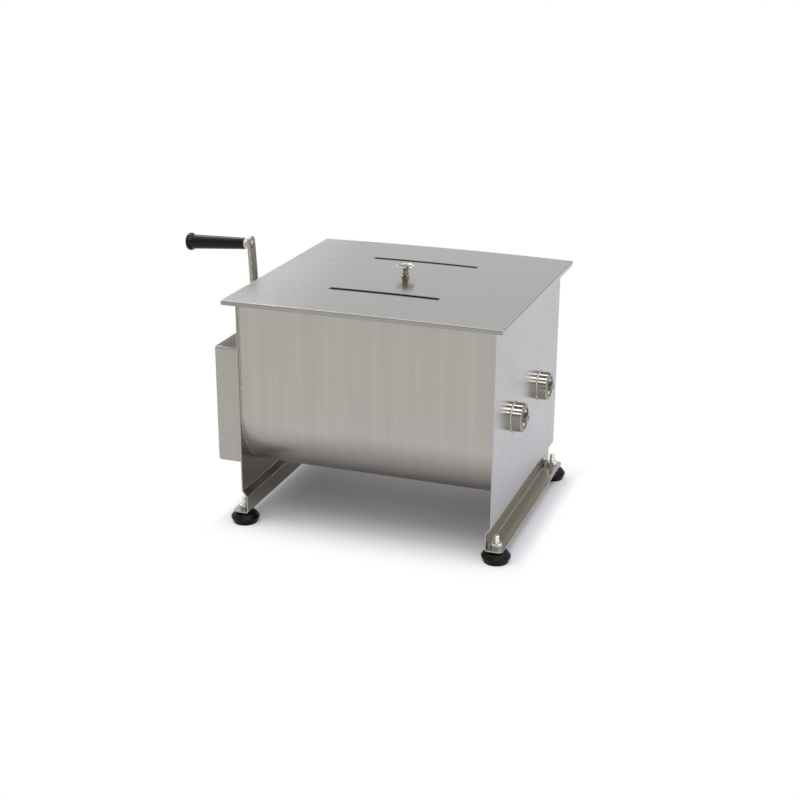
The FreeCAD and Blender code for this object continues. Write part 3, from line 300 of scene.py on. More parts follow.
def weld_bead_finish(name, tint, straw):
    """Hand laid TIG weld in stainless steel, wire brushed. The eye sees a bright rippled
    line with straw coloured heat tint in patches 7 mm long."""
    weld = Finish(name, Metallic=1.0, Roughness=0.26)
    tree = weld.tree
    heat = add(tree, "ShaderNodeTexNoise",
               {"Vector": weld.place, "Scale": 1000 / 7, "Detail": 3.0, "Roughness": 0.6})
    where = add(tree, "ShaderNodeMapRange",
                {"Value": heat.outputs[0], "From Min": 0.42, "From Max": 0.62})
    colour = add(tree, "ShaderNodeMix", {0: where.outputs[0], 6: tint, 7: straw},
                 data_type="RGBA")
    gloss = add(tree, "ShaderNodeMapRange",
                {"Value": heat.outputs[0], "From Min": 0.3, "From Max": 0.7,
                 "To Min": 0.2, "To Max": 0.34})
    return weld.drive(Base_Color=colour.outputs[2], Roughness=gloss.outputs[0])


def oiled_gear_steel(name, tint, oil):
    """Carbon steel gears, hobbed and oiled. The eye sees grey teeth under a brown film
    that pools in patches 25 mm across."""
    gear = Finish(name, Metallic=1.0, Roughness=0.3)
    tree = gear.tree
    film = add(tree, "ShaderNodeTexNoise",
               {"Vector": gear.place, "Scale": 1000 / 25, "Detail": 5.0, "Roughness": 0.55})
    wet = add(tree, "ShaderNodeMapRange",
              {"Value": film.outputs[0], "From Min": 0.4, "From Max": 0.65})
    colour = add(tree, "ShaderNodeMix", {0: wet.outputs[0], 6: tint, 7: oil}, data_type="RGBA")
    gloss = add(tree, "ShaderNodeMapRange",
                {"Value": film.outputs[0], "From Min": 0.35, "From Max": 0.65,
                 "To Min": 0.4, "To Max": 0.18})
    return gear.drive(Base_Color=colour.outputs[2], Roughness=gloss.outputs[0])


def bearing_bronze(name, tint, dark):
    """Tin bronze bushes, bored and reamed. The eye sees warm brown metal, darker where it
    has tarnished in patches 8 mm across."""
    bronze = Finish(name, Metallic=1.0, Roughness=0.3)
    tree = bronze.tree
    tarnish = add(tree, "ShaderNodeTexNoise",
                  {"Vector": bronze.place, "Scale": 1000 / 8, "Detail": 4.0, "Roughness": 0.55})
    colour = add(tree, "ShaderNodeMix", {0: tarnish.outputs[0], 6: tint, 7: dark},
                 data_type="RGBA")
    gloss = add(tree, "ShaderNodeMapRange",
                {"Value": tarnish.outputs[0], "From Min": 0.3, "From Max": 0.7,
                 "To Min": 0.22, "To Max": 0.4})
    return bronze.drive(Base_Color=colour.outputs[2], Roughness=gloss.outputs[0])


def moulded_black(name, tint, roughness, grain, relief_depth, ior, shine=0.5, dust=0.0):
    """Black plastic or rubber from a steel mould. The eye sees black with the mould's
    texture (grain and relief_depth, in mm) in its gloss, and a little pale dust in 18 mm
    patches."""
    black = Finish(name, Metallic=0.0, Roughness=roughness, IOR=ior, Specular_IOR_Level=shine)
    tree = black.tree
    mould = add(tree, "ShaderNodeTexNoise",
                {"Vector": black.place, "Scale": 1000 / grain, "Detail": 3.0, "Roughness": 0.55})
    dirt = add(tree, "ShaderNodeTexNoise",
               {"Vector": black.place, "Scale": 1000 / 18, "Detail": 4.0, "Roughness": 0.6})
    where = add(tree, "ShaderNodeMapRange",
                {"Value": dirt.outputs[0], "From Min": 0.45, "From Max": 0.8, "To Max": dust})
    even = add(tree, "ShaderNodeMix",
               {0: mould.outputs[0], 6: shade(tint, 0.8), 7: shade(tint, 1.25)},
               data_type="RGBA")
    colour = add(tree, "ShaderNodeMix",
                 {0: where.outputs[0], 6: even.outputs[2], 7: linear("#77736D")},
                 data_type="RGBA")
    gloss = add(tree, "ShaderNodeMapRange",
                {"Value": mould.outputs[0], "From Min": 0.3, "From Max": 0.7,
                 "To Min": roughness * 0.85, "To Max": roughness * 1.2})
    relief = add(tree, "ShaderNodeBump",
                 {"Height": mould.outputs[0], "Strength": 0.2, "Distance": relief_depth * MM})
    return black.drive(Base_Color=colour.outputs[2], Roughness=gloss.outputs[0],
                       Normal=relief.outputs[0])


# Shapes


def skin(points, closed_rows=False):
    """Points and blocks of faces of a grid of rows of points. Each row is a closed ring.
    The rows close on themselves, or end in a point in the middle of the first and last
    row. The faces look outwards when the rings run anticlockwise seen from the end of the
    path."""
    rows, around = points.shape[:2]
    j = np.arange(around)
    k = (j + 1) % around
    last = rows if closed_rows else rows - 1
    i = np.arange(last)[:, None] * around
    up = (np.arange(last)[:, None] + 1) % rows * around
    quads = np.stack([i + j, i + k, up + k, up + j], -1).reshape(-1, 4)
    flat = points.reshape(-1, 3)
    if closed_rows:
        return flat, [quads]
    start, end = len(flat), len(flat) + 1
    flat = np.vstack([flat, points[0].mean(0), points[-1].mean(0)])
    first = np.stack([np.full(around, start), k, j], -1)
    tail = (rows - 1) * around
    final = np.stack([np.full(around, end), tail + j, tail + k], -1)
    return flat, [quads, first, final]


def solid(name, skins, body, finish):
    """One mesh object from several closed skins, riding on a body."""
    points, faces, count = [], [], 0
    for flat, blocks in skins:
        points.append(flat)
        for corners in blocks:
            faces += (corners + count).tolist()
        count += len(flat)
    mesh = bpy.data.meshes.new(name)
    mesh.from_pydata(np.vstack(points).tolist(), [], faces)
    mesh.polygons.foreach_set("use_smooth", np.ones(len(faces), bool))
    mesh.update()
    piece = bpy.data.objects.new(name, mesh)
    bpy.context.scene.collection.objects.link(piece)
    mesh.materials.append(finish.material)
    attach(piece, body)
    return piece


def bead(path, outward, side, radius, ripple, ripples):
    """A weld bead: a ring of 12 points round each point of the path, in the plane of the
    outward and side directions. Its radius swells and shrinks along the path as a cosine,
    by the ripple's share of it and once for each of the ripples."""
    along = np.linspace(0, 1, len(path))
    turn = np.linspace(0, 2 * np.pi, 12, endpoint=False)
    swell = radius * (1 + ripple * np.cos(2 * np.pi * ripples * along))
    ring = (np.cos(turn)[None, :, None] * outward[:, None]
            + np.sin(turn)[None, :, None] * side[:, None])
    return path[:, None] + swell[:, None, None] * ring


def threaded_rod(x, y, bottom, thread_from, top, radius, pitch):
    """A stud: at height z and angle a its radius is the full one less a groove, whose
    depth is a triangle wave of z / pitch - a / (2 pi), so that the groove climbs one pitch
    each turn. The wave is 15% too steep, which leaves a narrow flat crest. The groove
    fades in at thread_from and the top ends in a chamfer."""
    depth, chamfer, steep = 0.6 * pitch, 0.8 * MM, 1.15
    rows_per_pitch, around = 10, 40
    z = np.concatenate([[bottom, thread_from - 0.1 * MM],
                        np.arange(thread_from, top, pitch / rows_per_pitch), [top]])
    a = np.linspace(0, 2 * np.pi, around, endpoint=False)
    phase = (z[:, None] / pitch - a[None] / (2 * np.pi)) % 1
    groove = depth * np.clip(1 - 2 * np.abs(phase - 0.5) * steep, 0, 1)
    groove *= np.clip((z - thread_from) / (0.3 * pitch), 0, 1)[:, None]
    end = radius - np.clip(z - (top - chamfer), 0, None)
    r = np.minimum(radius - groove, end[:, None])
    height = np.broadcast_to(z[:, None], r.shape)
    return skin(np.stack([x + r * np.cos(a), y + r * np.sin(a), height], -1))


def dress(finish, *heads):
    """Give a finish to the CAD nodes whose names start with one of the heads."""
    for name, node in NODES.items():
        if name.startswith(heads):
            node.data.materials.clear()
            node.data.materials.append(finish.material)


# Sizes and colours that can be changed


def tone(name, hex_code, words):
    """A colour that can be picked, from its hex sRGB default."""
    return FloatVectorProperty(name=name, description=words, subtype="COLOR", size=4,
                               min=0, max=1, default=linear(hex_code))


def measure(name, metres, words):
    """A length that can be changed."""
    return FloatProperty(name=name, description=words, default=metres, min=0, unit="LENGTH",
                         precision=4)


class MixerFinishes(bpy.types.PropertyGroup):
    """Colours of the mixer."""

    tub_tint: tone("Tub", "#AFABA5", "Brushed sheet of the tub and the gear cover")
    panel_tint: tone("Right panel", "#ACACAF", "Brushed sheet of the right side panel")
    # the left panel is the right panel's steel, painted darker and warmer: painted shade with a
    # painted warm reflection
    left_panel_tint: tone("Left panel", "#A59F95", "Brushed sheet of the left side panel")
    lid_tint: tone("Lid", "#A9A8A6", "Satin sheet of the lid")
    turned_tint: tone("Turned steel", "#B0ACA2", "Polished turned stainless steel")
    zinc_tint: tone("Zinc", "#E4E8E5", "Zinc plated nuts and studs")
    knob_tint: tone("Knob dish", "#BBB8B6", "Nickel plating on the knob's dish")
    stem_tint: tone("Knob stem", "#A1967C", "Thin plating on the knob's stem")
    grip_black: tone("Grip", "#08080C", "Glossy black plastic")
    foot_black: tone("Feet", "#0B0B0D", "Matt black plastic")


class MixerWelds(bpy.types.PropertyGroup):
    """Sizes of weld beads and threads."""

    hub_bead: measure("Hub bead", 1.75 * MM, "Radius of the weld bead round a right hand housing")
    tub_bead: measure("Tub bead", 1.0 * MM, "Radius of the weld bead at the ends of the tub")
    ripple_step: measure("Ripple", 2.2 * MM, "Distance from one weld ripple to the next")
    stud_pitch: measure("Stud pitch", 1.5 * MM, "Thread pitch of the M10 foot studs")


class MixerView(bpy.types.PropertyGroup):
    """The camera of the main view."""

    lens: FloatProperty(name="Lens", description="Focal length in mm on a 36 mm sensor",
                        default=65.13, min=10, max=300)
    yaw: FloatProperty(name="Yaw", description="Turn to the left of +Y, in degrees",
                       default=19.665)
    pitch: FloatProperty(name="Pitch", description="Tilt below the horizon, in degrees",
                         default=20.03)
    roll: FloatProperty(name="Roll", description="Turn about the line of sight, in degrees",
                        default=0.26)
    place: FloatVectorProperty(name="Place", description="Where the camera stands", size=3,
                               subtype="TRANSLATION", default=(0.890238, -2.285823, 1.074861))


# Operators


class MIXER_OT_sheet_metal(bpy.types.Operator):
    """Finish the tub, side panels, gear cover and lid as brushed stainless sheet"""

    bl_idname = "mixer.sheet_metal"
    bl_label = "Sheet metal"

    def execute(self, context):
        tints = context.scene.mixer_finishes
        # the belt ran up the walls before the tub was bent, so its grain follows Y and Z
        tub = brushed_stainless("tub_brushed_stainless", tints.tub_tint, 0.32,
                                (1.4, 150, 150), "Z")
        self.painted_trough_shade(tub)
        dress(tub, "tub_shell")
        # the cover is the tub's steel painted 5% darker, as painted shade
        cover = brushed_stainless("cover_brushed_stainless", shade(tints.tub_tint, 0.95), 0.36,
                                  (1.4, 1.4, 150), "Z", contrast=0.03)
        self.painted_top_shade(cover)
        dress(cover, "gear_cover")
        upright = {"roughness": 0.22, "hairline": (150, 1.4, 150), "smear_axis": "Z",
                   "contrast": 0.02, "smear": 0.4}
        panel = brushed_stainless("panel_brushed_stainless", tints.panel_tint, **upright)
        self.heat_tint_and_smudge_shade(panel)
        self.painted_leg_reflection(panel)
        dress(panel, "side_panel_right")
        # painted shade with a painted warm reflection: a darker, warmer copy of the panel's steel
        dress(brushed_stainless("panel_left_brushed_stainless", tints.left_panel_tint, **upright),
              "side_panel_left")
        lid = brushed_stainless("lid_brushed_stainless", tints.lid_tint, 0.19,
                                (150, 1.4, 1.4), "X", contrast=0.02, smear=0.55)
        self.painted_slot_shade(lid)
        self.painted_front_shade(lid)
        self.dull_end(lid)
        dress(lid, "lid_panel")
        return {"FINISHED"}

    @staticmethod
    def painted_trough_shade(tub):
        """The troughs are painted darker, a painted reflection of the shaded floor under the tub:
        it is full up to 90 mm above the floor and gone at 200 mm."""
        parts = add(tub.tree, "ShaderNodeSeparateXYZ", {0: tub.place})
        film = add(tub.tree, "ShaderNodeMapRange",
                   {"Value": parts.outputs[Z], "From Min": 90 * MM, "From Max": 200 * MM,
                    "To Min": 1.0, "To Max": 0.0})
        tub.stain(film.outputs[0], linear("#908B82"))

    @staticmethod
    def painted_top_shade(cover):
        """The cover's top is painted dark, more so towards the panel: painted shade under the
        lid's overhang. The shade is where z is within 2 mm of the top, and grows along X."""
        tree = cover.tree
        low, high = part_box("gear_cover")
        parts = add(tree, "ShaderNodeSeparateXYZ", {0: cover.place})
        top = add(tree, "ShaderNodeMapRange",
                  {"Value": parts.outputs[Z], "From Min": high[Z] - 2 * MM,
                   "From Max": high[Z] - 0.5 * MM})
        inwards = add(tree, "ShaderNodeMapRange",
                      {"Value": parts.outputs[X], "From Min": low[X] + 4 * MM,
                       "From Max": high[X] - 10 * MM, "To Min": 0.6})
        film = add(tree, "ShaderNodeMath", {0: top.outputs[0], 1: inwards.outputs[0]},
                   operation="MULTIPLY")
        cover.stain(film.outputs[0], linear("#484645"))

    @staticmethod
    def heat_tint_and_smudge_shade(panel):
        """Brown heat tint round each welded housing, gone 4 mm away from it, from the distance to
        the nearer shaft axis in the panel's YZ plane, and narrow smudges above and below, which
        are painted shade: the same distance, with Y stretched seven times about the axis."""
        tree = panel.tree
        low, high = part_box("bearing_housing_right_front")
        axis_y, axis_z = -(low[Y] + high[Y]) / 2, (low[Z] + high[Z]) / 2
        hub = (high[Z] - low[Z]) / 2
        parts = add(tree, "ShaderNodeSeparateXYZ", {0: panel.place})
        side = add(tree, "ShaderNodeMath", {0: parts.outputs[Y]}, operation="ABSOLUTE")
        spot = add(tree, "ShaderNodeCombineXYZ", {1: side.outputs[0], 2: parts.outputs[Z]})
        narrow = add(tree, "ShaderNodeVectorMath",
                     {0: spot.outputs[0], 1: (1, 7, 1), 2: (0, -6 * axis_y, 0)},
                     operation="MULTIPLY_ADD")
        marks = []
        # the first mask is the heat tint; the second, stretched along Y, is the smudges' painted
        # shade
        for seen_from, reach, depth in ((spot, (0.5, 4), 0.35), (narrow, (0, 9), 0.4)):
            far = add(tree, "ShaderNodeVectorMath",
                      {0: seen_from.outputs[0], 1: (0, axis_y, axis_z)}, operation="DISTANCE")
            marks.append(add(tree, "ShaderNodeMapRange",
                             {"Value": far.outputs["Value"], "From Min": hub + reach[0] * MM,
                              "From Max": hub + reach[1] * MM, "To Min": depth, "To Max": 0.0}))
        either = add(tree, "ShaderNodeMath", {0: marks[0].outputs[0], 1: marks[1].outputs[0]},
                     operation="MAXIMUM")
        panel.stain(either.outputs[0], linear("#766C66"))

    @staticmethod
    def painted_leg_reflection(panel):
        """Below the joggle the leg is painted warmer, a painted warm reflection: it is full up to
        60 mm above the floor and gone at 86 mm."""
        parts = add(panel.tree, "ShaderNodeSeparateXYZ", {0: panel.place})
        film = add(panel.tree, "ShaderNodeMapRange",
                   {"Value": parts.outputs[Z], "From Min": 60 * MM, "From Max": 86 * MM,
                    "To Min": 1.0, "To Max": 0.0})
        panel.stain(film.outputs[0], linear("#B1ABA1"))

    @staticmethod
    def painted_slot_shade(lid):
        """The slots' laser cut edges are painted near black, and so is a band round them, 3.6 mm
        wide along their sides and 2.2 mm at their ends: everything inside two oblongs that much
        larger than the slots. This is painted shade, which makes the slots look as wide as the
        dark openings they stand for."""
        tree = lid.tree
        slot_y, half_width, half_length = 107 * MM, 6.9 * MM, 98.0 * MM
        low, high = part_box("lid_panel")
        parts = add(tree, "ShaderNodeSeparateXYZ", {0: lid.place})
        side = add(tree, "ShaderNodeMath", {0: parts.outputs[Y]}, operation="ABSOLUTE")
        near_slot = add(tree, "ShaderNodeMath", {0: side.outputs[0], 1: slot_y, 2: half_width},
                        operation="COMPARE")
        in_length = add(tree, "ShaderNodeMath",
                        {0: parts.outputs[X], 1: (low[X] + high[X]) / 2, 2: half_length},
                        operation="COMPARE")
        cut = add(tree, "ShaderNodeMath", {0: near_slot.outputs[0], 1: in_length.outputs[0]},
                  operation="MULTIPLY")
        lid.stain(cut.outputs[0], linear("#100F0E"))

    @staticmethod
    def painted_front_shade(lid):
        """The lid's folded front edge is painted darker than its top: painted shade on the face
        that looks forward.
        """
        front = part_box("lid_panel")[0][Y]
        parts = add(lid.tree, "ShaderNodeSeparateXYZ", {0: lid.place})
        edge = add(lid.tree, "ShaderNodeMapRange",
                   {"Value": parts.outputs[Y], "From Min": front + 0.3 * MM,
                    "From Max": front + 1.2 * MM, "To Min": 0.8, "To Max": 0.0})
        lid.stain(edge.outputs[0], linear("#96938C"))

    @staticmethod
    def dull_end(lid):
        """Near the crank the lid is rubbed duller: its roughness grows by 80% over 140 mm."""
        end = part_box("lid_panel")[0][X]
        parts = add(lid.tree, "ShaderNodeSeparateXYZ", {0: lid.place})
        rubbed = add(lid.tree, "ShaderNodeMapRange",
                     {"Value": parts.outputs[X], "From Min": end + 20 * MM,
                      "From Max": end + 160 * MM, "To Min": 1.8, "To Max": 1.0},
                     interpolation_type="SMOOTHSTEP")
        gloss = add(lid.tree, "ShaderNodeMath",
                    {0: lid.under("Roughness"), 1: rubbed.outputs[0]}, operation="MULTIPLY")
        lid.drive(Roughness=gloss.outputs[0])


class MIXER_OT_turned_parts(bpy.types.Operator):
    """Finish the housings, shafts, screws, nuts and washers as bright stainless steel"""

    bl_idname = "mixer.turned_parts"
    bl_label = "Turned parts"

    def execute(self, context):
        tint = context.scene.mixer_finishes.turned_tint
        dress(turned_stainless("housing_turned_stainless", tint),
              "bearing_housing", "crank_housing", "paddle_shaft", "crank_shaft", "cover_posts")
        dress(machined_steel("fastener_bright_stainless", tint),
              "shaft_washer", "shaft_nut", "gear_nut", "crank_nut", "cover_screws", "knob_nut",
              "paddle_pins", "grip_bolt", "grip_nut")
        dress(machined_steel("screw_dull_stainless", linear("#8B8688"), roughness=0.35),
              "knob_screw")
        return {"FINISHED"}


class MIXER_OT_inside_parts(bpy.types.Operator):
    """Finish the paddles, gears, bushes and seals"""

    bl_idname = "mixer.inside_parts"
    bl_label = "Paddles and gears"

    def execute(self, context):
        blade = brushed_stainless("paddle_brushed_stainless", linear("#B0AEAA"), 0.3,
                                  (60, 1.4, 1.4), "X")
        dress(blade, "paddle_front", "paddle_rear")
        dress(oiled_gear_steel("gear_hobbed_steel", linear("#7F7C78"), linear("#5D564A")),
              "drive_", "gear_key", "pinion_key")
        dress(bearing_bronze("bush_tin_bronze", linear("#B98B4E"), linear("#8C6433")),
              "bush_", "crank_bush")
        dress(moulded_black("seal_nitrile_rubber", linear("#1A1A1C"), 0.6, 1.5, 0.2, 1.52),
              "shaft_seals")
        return {"FINISHED"}


class MIXER_OT_feet(bpy.types.Operator):
    """Finish the levelling feet and nuts, and cut the thread of the studs"""

    bl_idname = "mixer.feet"
    bl_label = "Levelling feet"

    def execute(self, context):
        tints, sizes = context.scene.mixer_finishes, context.scene.mixer_welds
        dress(moulded_black("foot_moulded_nylon", tints.foot_black, 0.34, 1.2, 0.15, 1.53,
                            shine=0.13, dust=0.03), "foot_pad")
        zinc = zinc_plate("fastener_zinc_plate", tints.zinc_tint)
        dress(zinc, "foot_nuts", "foot_studs")
        low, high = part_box("foot_studs")
        nut_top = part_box("foot_nuts")[1][Z]
        rods = []
        for name in ("front_left", "front_right", "rear_left", "rear_right"):
            pad_low, pad_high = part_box(f"foot_pad_{name}")
            rods.append(threaded_rod(
                (pad_low[X] + pad_high[X]) / 2, (pad_low[Y] + pad_high[Y]) / 2, low[Z],
                nut_top - 2 * MM, high[Z], 5 * MM, sizes.stud_pitch))
        studs = solid("foot_studs_threaded", rods, "base", zinc)
        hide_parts("foot_studs")
        return {"FINISHED"}


class MIXER_OT_knob(bpy.types.Operator):
    """Finish the lid knob"""

    bl_idname = "mixer.knob"
    bl_label = "Lid knob"

    def execute(self, context):
        tints = context.scene.mixer_finishes
        dress(polished_nickel("knob_nickel_plate", tints.knob_tint, tints.stem_tint), "lid_knob")
        return {"FINISHED"}


class MIXER_OT_crank(bpy.types.Operator):
    """Finish the crank arm and its grip"""

    bl_idname = "mixer.crank"
    bl_label = "Crank and grip"

    def execute(self, context):
        tints = context.scene.mixer_finishes
        dress(ground_bar("crank_ground_bar", linear("#A5A29D"), linear("#6E6150")), "crank_arm")
        dress(moulded_black("grip_moulded_phenolic", tints.grip_black, 0.1, 3.0, 0.008, 1.6,
                            shine=0.17),
              "grip_handle")
        return {"FINISHED"}


class MIXER_OT_welds(bpy.types.Operator):
    """Lay the weld beads round the right hand housings and at the ends of the tub"""

    bl_idname = "mixer.welds"
    bl_label = "Weld beads"

    def execute(self, context):
        sizes = context.scene.mixer_welds
        finish = weld_bead_finish("weld_brushed_tig", linear("#BEB8AE"), linear("#A99D8C"))
        tub_low, tub_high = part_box("tub_shell")
        panel_sheet = 2 * MM
        for row in ("front", "rear"):
            low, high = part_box(f"bearing_housing_right_{row}")
            middle = np.array([tub_high[X] + panel_sheet, (low[Y] + high[Y]) / 2,
                               (low[Z] + high[Z]) / 2])
            # the solid's plain bevel at the foot of the housing is 1.6 mm wide
            radius = (high[Z] - low[Z]) / 2 - 1.6 * MM
            ripples = round(2 * np.pi * radius / sizes.ripple_step)
            ring = bead(*self.round_hub(middle, radius), sizes.hub_bead, 0.05, ripples)[:-1]
            solid(f"hub_weld_{row}", [skin(ring, closed_rows=True)], "base", finish)
        for end, x in (("left", tub_low[X]), ("right", tub_high[X])):
            skins = []
            for way in (-1, 1):
                path, outward = self.along_trough(x, way)
                side = np.broadcast_to([1.0 * way, 0, 0], path.shape)
                length = np.linalg.norm(np.diff(path, axis=0), axis=1).sum()
                skins.append(skin(bead(path, outward, side, sizes.tub_bead, 0.12,
                                       length / sizes.ripple_step)))
            solid(f"tub_weld_{end}", skins, "base", finish)
        return {"FINISHED"}

    @staticmethod
    def round_hub(middle, radius):
        """A circle about X, with the directions away from its axis and along it. Its last
        point is its first one again."""
        a = np.linspace(0, 2 * np.pi, 433)
        away = np.stack([np.zeros_like(a), np.cos(a), np.sin(a)], -1)
        side = np.broadcast_to([-1.0, 0, 0], away.shape)
        return middle + radius * away, away, side

    @staticmethod
    def along_trough(x, way):
        """The outer profile of one half of the tub at x: a straight line down its wall, and
        then an arc of the trough to the ridge in the middle, with the outward direction."""
        wall, axis, radius, height, top = (v * MM for v in (204, 84, 120, 209, 402))
        down, round_arc = 240, 330
        straight = np.linspace(top, height, down, endpoint=False)
        ridge = np.pi / 2 + np.arcsin(axis / radius)
        a = np.linspace(0, ridge, round_arc)
        y = np.concatenate([np.full(down, wall), axis + radius * np.cos(a)])
        z = np.concatenate([straight, height - radius * np.sin(a)])
        out_y = np.concatenate([np.ones(down), np.cos(a)])
        out_z = np.concatenate([np.zeros(down), -np.sin(a)])
        path = np.stack([np.full_like(y, x), way * y, z], -1)
        return path, np.stack([np.zeros_like(y), way * out_y, out_z], -1)


class MIXER_OT_stage(bpy.types.Operator):
    """Put up the white floor, the soft lights and the camera"""

    bl_idname = "mixer.stage"
    bl_label = "Stage"

    def execute(self, context):
        scene = context.scene
        self.lay_floor(scene)
        self.light_studio(scene)
        self.set_camera(scene, scene.mixer_view)
        scene.view_settings.view_transform = "Standard"
        return {"FINISHED"}

    @staticmethod
    def lay_floor(scene):
        """White paper backdrop, matt. The eye sees an even white that keeps the soft
        shadows under and near the mixer, with 40 mm clouds too faint to notice. Outside a
        margin round the feet, narrow at the ends and wide in front and behind, it turns
        to plain white, for mirrors and glass further out than for the camera."""
        paper = Finish("backdrop_white_paper", Roughness=0.9, Specular_IOR_Level=0.0)
        tree = paper.tree
        cloud = add(tree, "ShaderNodeTexNoise", {"Vector": paper.place, "Scale": 1000 / 40})
        white = add(tree, "ShaderNodeMix",
                    {0: cloud.outputs[0], 6: linear("#F6F6F7"), 7: linear("#F8F8F9")},
                    data_type="RGBA")
        paper.drive(Base_Color=white.outputs[2])
        low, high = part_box("side_panel_left")[0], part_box("side_panel_right")[1]
        parts = add(tree, "ShaderNodeSeparateXYZ", {0: paper.place})
        path = add(tree, "ShaderNodeLightPath")
        # along X and Y, how far beyond the side panels the plain white starts and is full
        for_mirrors = ((0.02, 0.16), (0.1, 0.5))
        for_camera = ((0.01, 0.043), (-0.06, 0.07))
        margins = []
        for reach in (for_mirrors, for_camera):
            edges = []
            for axis, (start, end) in zip((X, Y), reach):
                half = (high[axis] - low[axis]) / 2
                from_middle = add(tree, "ShaderNodeMath",
                                  {0: parts.outputs[axis], 1: (low[axis] + high[axis]) / 2},
                                  operation="SUBTRACT")
                out = add(tree, "ShaderNodeMath", {0: from_middle.outputs[0]},
                          operation="ABSOLUTE")
                edges.append(add(tree, "ShaderNodeMapRange",
                                 {"Value": out.outputs[0], "From Min": half + start,
                                  "From Max": half + end}, interpolation_type="SMOOTHSTEP"))
            margins.append(add(tree, "ShaderNodeMath",
                               {0: edges[0].outputs[0], 1: edges[1].outputs[0]},
                               operation="MAXIMUM").outputs[0])
        away = add(tree, "ShaderNodeMix",
                   {0: path.outputs["Is Camera Ray"], 2: margins[0], 3: margins[1]})
        seen = add(tree, "ShaderNodeMath",
                   {0: path.outputs["Is Camera Ray"], 1: path.outputs["Is Glossy Ray"]},
                   operation="MAXIMUM")
        clear = add(tree, "ShaderNodeMath",
                    {0: seen.outputs[0], 1: path.outputs["Is Transmission Ray"]},
                    operation="MAXIMUM")
        plain = add(tree, "ShaderNodeMath", {0: clear.outputs[0], 1: away.outputs[0]},
                    operation="MULTIPLY")
        glow = add(tree, "ShaderNodeEmission", {"Strength": 1.0})
        both = add(tree, "ShaderNodeMixShader",
                   {0: plain.outputs[0], 1: paper.shader.outputs[0], 2: glow.outputs[0]})
        tree.links.new(both.outputs[0], tree.nodes["Material Output"].inputs["Surface"])
        far = 30.0
        mesh = bpy.data.meshes.new("floor")
        mesh.from_pydata([(-far, -far, 0), (far, -far, 0), (far, far, 0), (-far, far, 0)],
                         [], [(0, 1, 2, 3)])
        mesh.materials.append(paper.material)
        floor = bpy.data.objects.new("floor", mesh)
        scene.collection.objects.link(floor)

    @staticmethod
    def light_studio(scene):
        """A white studio with long softboxes along X and dark gaps between them, over the
        right hand side more than over the left. Its light depends on the angle about X,
        from the front horizon over the top to the rear one, and in steps on the way to
        the right. The ends of X and what the camera sees are plain white."""
        world = bpy.data.worlds.new("studio")
        scene.world = world
        world.use_nodes = True
        tree = world.node_tree
        sky = add(tree, "ShaderNodeTexCoord")
        parts = add(tree, "ShaderNodeSeparateXYZ", {0: sky.outputs["Generated"]})
        ahead = add(tree, "ShaderNodeMath", {0: parts.outputs[Y], 1: -1.0}, operation="MULTIPLY")
        angle = add(tree, "ShaderNodeMath", {0: parts.outputs[Z], 1: ahead.outputs[0]},
                    operation="ARCTAN2")
        share = add(tree, "ShaderNodeMath", {0: angle.outputs[0], 1: math.pi}, operation="DIVIDE")
        walls = []
        for steps in (FAR_LEFT_WALL, LEFT_WALL, RIGHT_WALL):
            ramp = add(tree, "ShaderNodeValToRGB", {0: share.outputs[0]})
            colours = ramp.color_ramp.elements
            while len(colours) < len(steps):
                colours.new(0.5)
            for element, (degrees, level) in zip(colours, steps):
                element.position = degrees / 180
                element.color = (level, level, level, 1)
            walls.append(ramp.outputs[0])
        around = walls[0]
        # each wall gives way to the next between two values of a direction's X. The ends
        # are white, so that the lid seen from there stays grey.
        for wall, start, end in ((walls[1], -0.46, -0.37), (walls[2], -0.05, 0.05),
                                 (WHITE, 0.6, 0.75), (WHITE, -0.6, -0.75)):
            beyond = add(tree, "ShaderNodeMapRange",
                         {"Value": parts.outputs[X], "From Min": start, "From Max": end})
            around = add(tree, "ShaderNodeMix", {0: beyond.outputs[0], 6: around, 7: wall},
                         data_type="RGBA").outputs[2]
        path = add(tree, "ShaderNodeLightPath")
        mirrored = add(tree, "ShaderNodeMath",
                       {0: path.outputs["Is Glossy Ray"], 1: path.outputs["Is Transmission Ray"]},
                       operation="MAXIMUM")
        room_light = (0.74, 0.73, 0.78, 1)
        inside = add(tree, "ShaderNodeMix", {0: mirrored.outputs[0], 6: room_light, 7: around},
                     data_type="RGBA")
        shown = add(tree, "ShaderNodeMix",
                    {0: path.outputs["Is Camera Ray"], 6: inside.outputs[2], 7: WHITE},
                    data_type="RGBA")
        background = tree.nodes["Background"]
        background.inputs["Strength"].default_value = 1.0
        tree.links.new(shown.outputs[2], background.inputs["Color"])

        lamp = bpy.data.lights.new("overhead_softbox", "AREA")
        lamp.size = 2.4
        lamp.energy = 38
        holder = bpy.data.objects.new("overhead_softbox", lamp)
        holder.location = (-0.1, -0.35, 2.5)
        aim = Vector((0.0, 0, 0.2)) - holder.location
        holder.rotation_euler = aim.to_track_quat("-Z", "Y").to_euler()
        # mirrors show the studio walls instead
        holder.visible_glossy = False
        scene.collection.objects.link(holder)

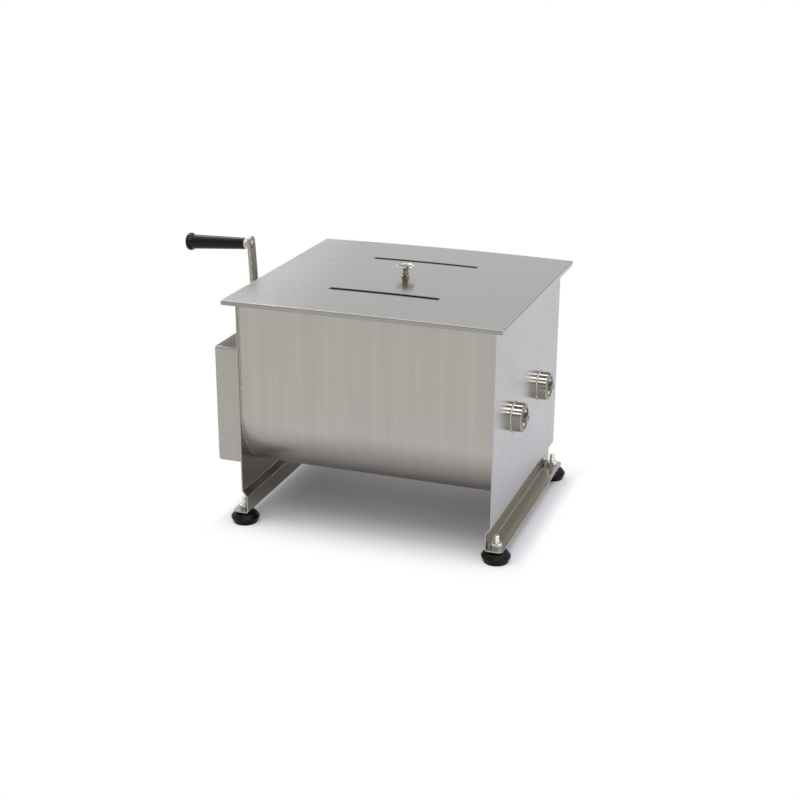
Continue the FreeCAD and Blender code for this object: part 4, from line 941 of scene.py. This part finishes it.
    @staticmethod
    def set_camera(scene, view):
        """The camera stands where the photograph's straight edges put it."""
        y, p, r = (math.radians(a) for a in (view.yaw, view.pitch, view.roll))
        ahead = Vector((-math.sin(y) * math.cos(p), math.cos(y) * math.cos(p), -math.sin(p)))
        right = Vector((math.cos(y), math.sin(y), 0))
        up = right.cross(ahead)
        right, up = (math.cos(r) * right + math.sin(r) * up,
                     -math.sin(r) * right + math.cos(r) * up)
        lens = bpy.data.cameras.new("camera")
        lens.lens = view.lens
        lens.sensor_width = 36
        lens.clip_end = 100
        camera = bpy.data.objects.new("camera", lens)
        turn = Matrix((right, up, -ahead)).transposed().to_4x4()
        camera.matrix_world = Matrix.Translation(view.place) @ turn
        scene.collection.objects.link(camera)
        scene.camera = camera


class MIXER_PT_panel(bpy.types.Panel):
    """Lists the colours, the sizes and the steps that dress the mixer"""

    bl_idname = "MIXER_PT_panel"
    bl_label = "Mixer"
    bl_space_type = "VIEW_3D"
    bl_region_type = "UI"
    bl_category = "Mixer"

    def draw(self, context):
        scene = context.scene
        for group in (scene.mixer_finishes, scene.mixer_welds, scene.mixer_view):
            box = self.layout.box()
            for name in group.__annotations__:
                box.prop(group, name)
        for step in STEPS:
            self.layout.operator(step.bl_idname)


GROUPS = (MixerFinishes, MixerWelds, MixerView)
STEPS = (
    MIXER_OT_sheet_metal,
    MIXER_OT_turned_parts,
    MIXER_OT_inside_parts,
    MIXER_OT_feet,
    MIXER_OT_knob,
    MIXER_OT_crank,
    MIXER_OT_welds,
    MIXER_OT_stage,
)


def register():
    for each in GROUPS + STEPS + (MIXER_PT_panel,):
        bpy.utils.register_class(each)
    bpy.types.Scene.mixer_finishes = PointerProperty(type=MixerFinishes)
    bpy.types.Scene.mixer_welds = PointerProperty(type=MixerWelds)
    bpy.types.Scene.mixer_view = PointerProperty(type=MixerView)


def unregister():
    del bpy.types.Scene.mixer_view
    del bpy.types.Scene.mixer_welds
    del bpy.types.Scene.mixer_finishes
    for each in reversed(GROUPS + STEPS + (MIXER_PT_panel,)):
        bpy.utils.unregister_class(each)


def main():
    register()
    for step in STEPS:
        group, name = step.bl_idname.split(".")
        getattr(getattr(bpy.ops, group), name)()


if __name__ == "__main__":
    main()
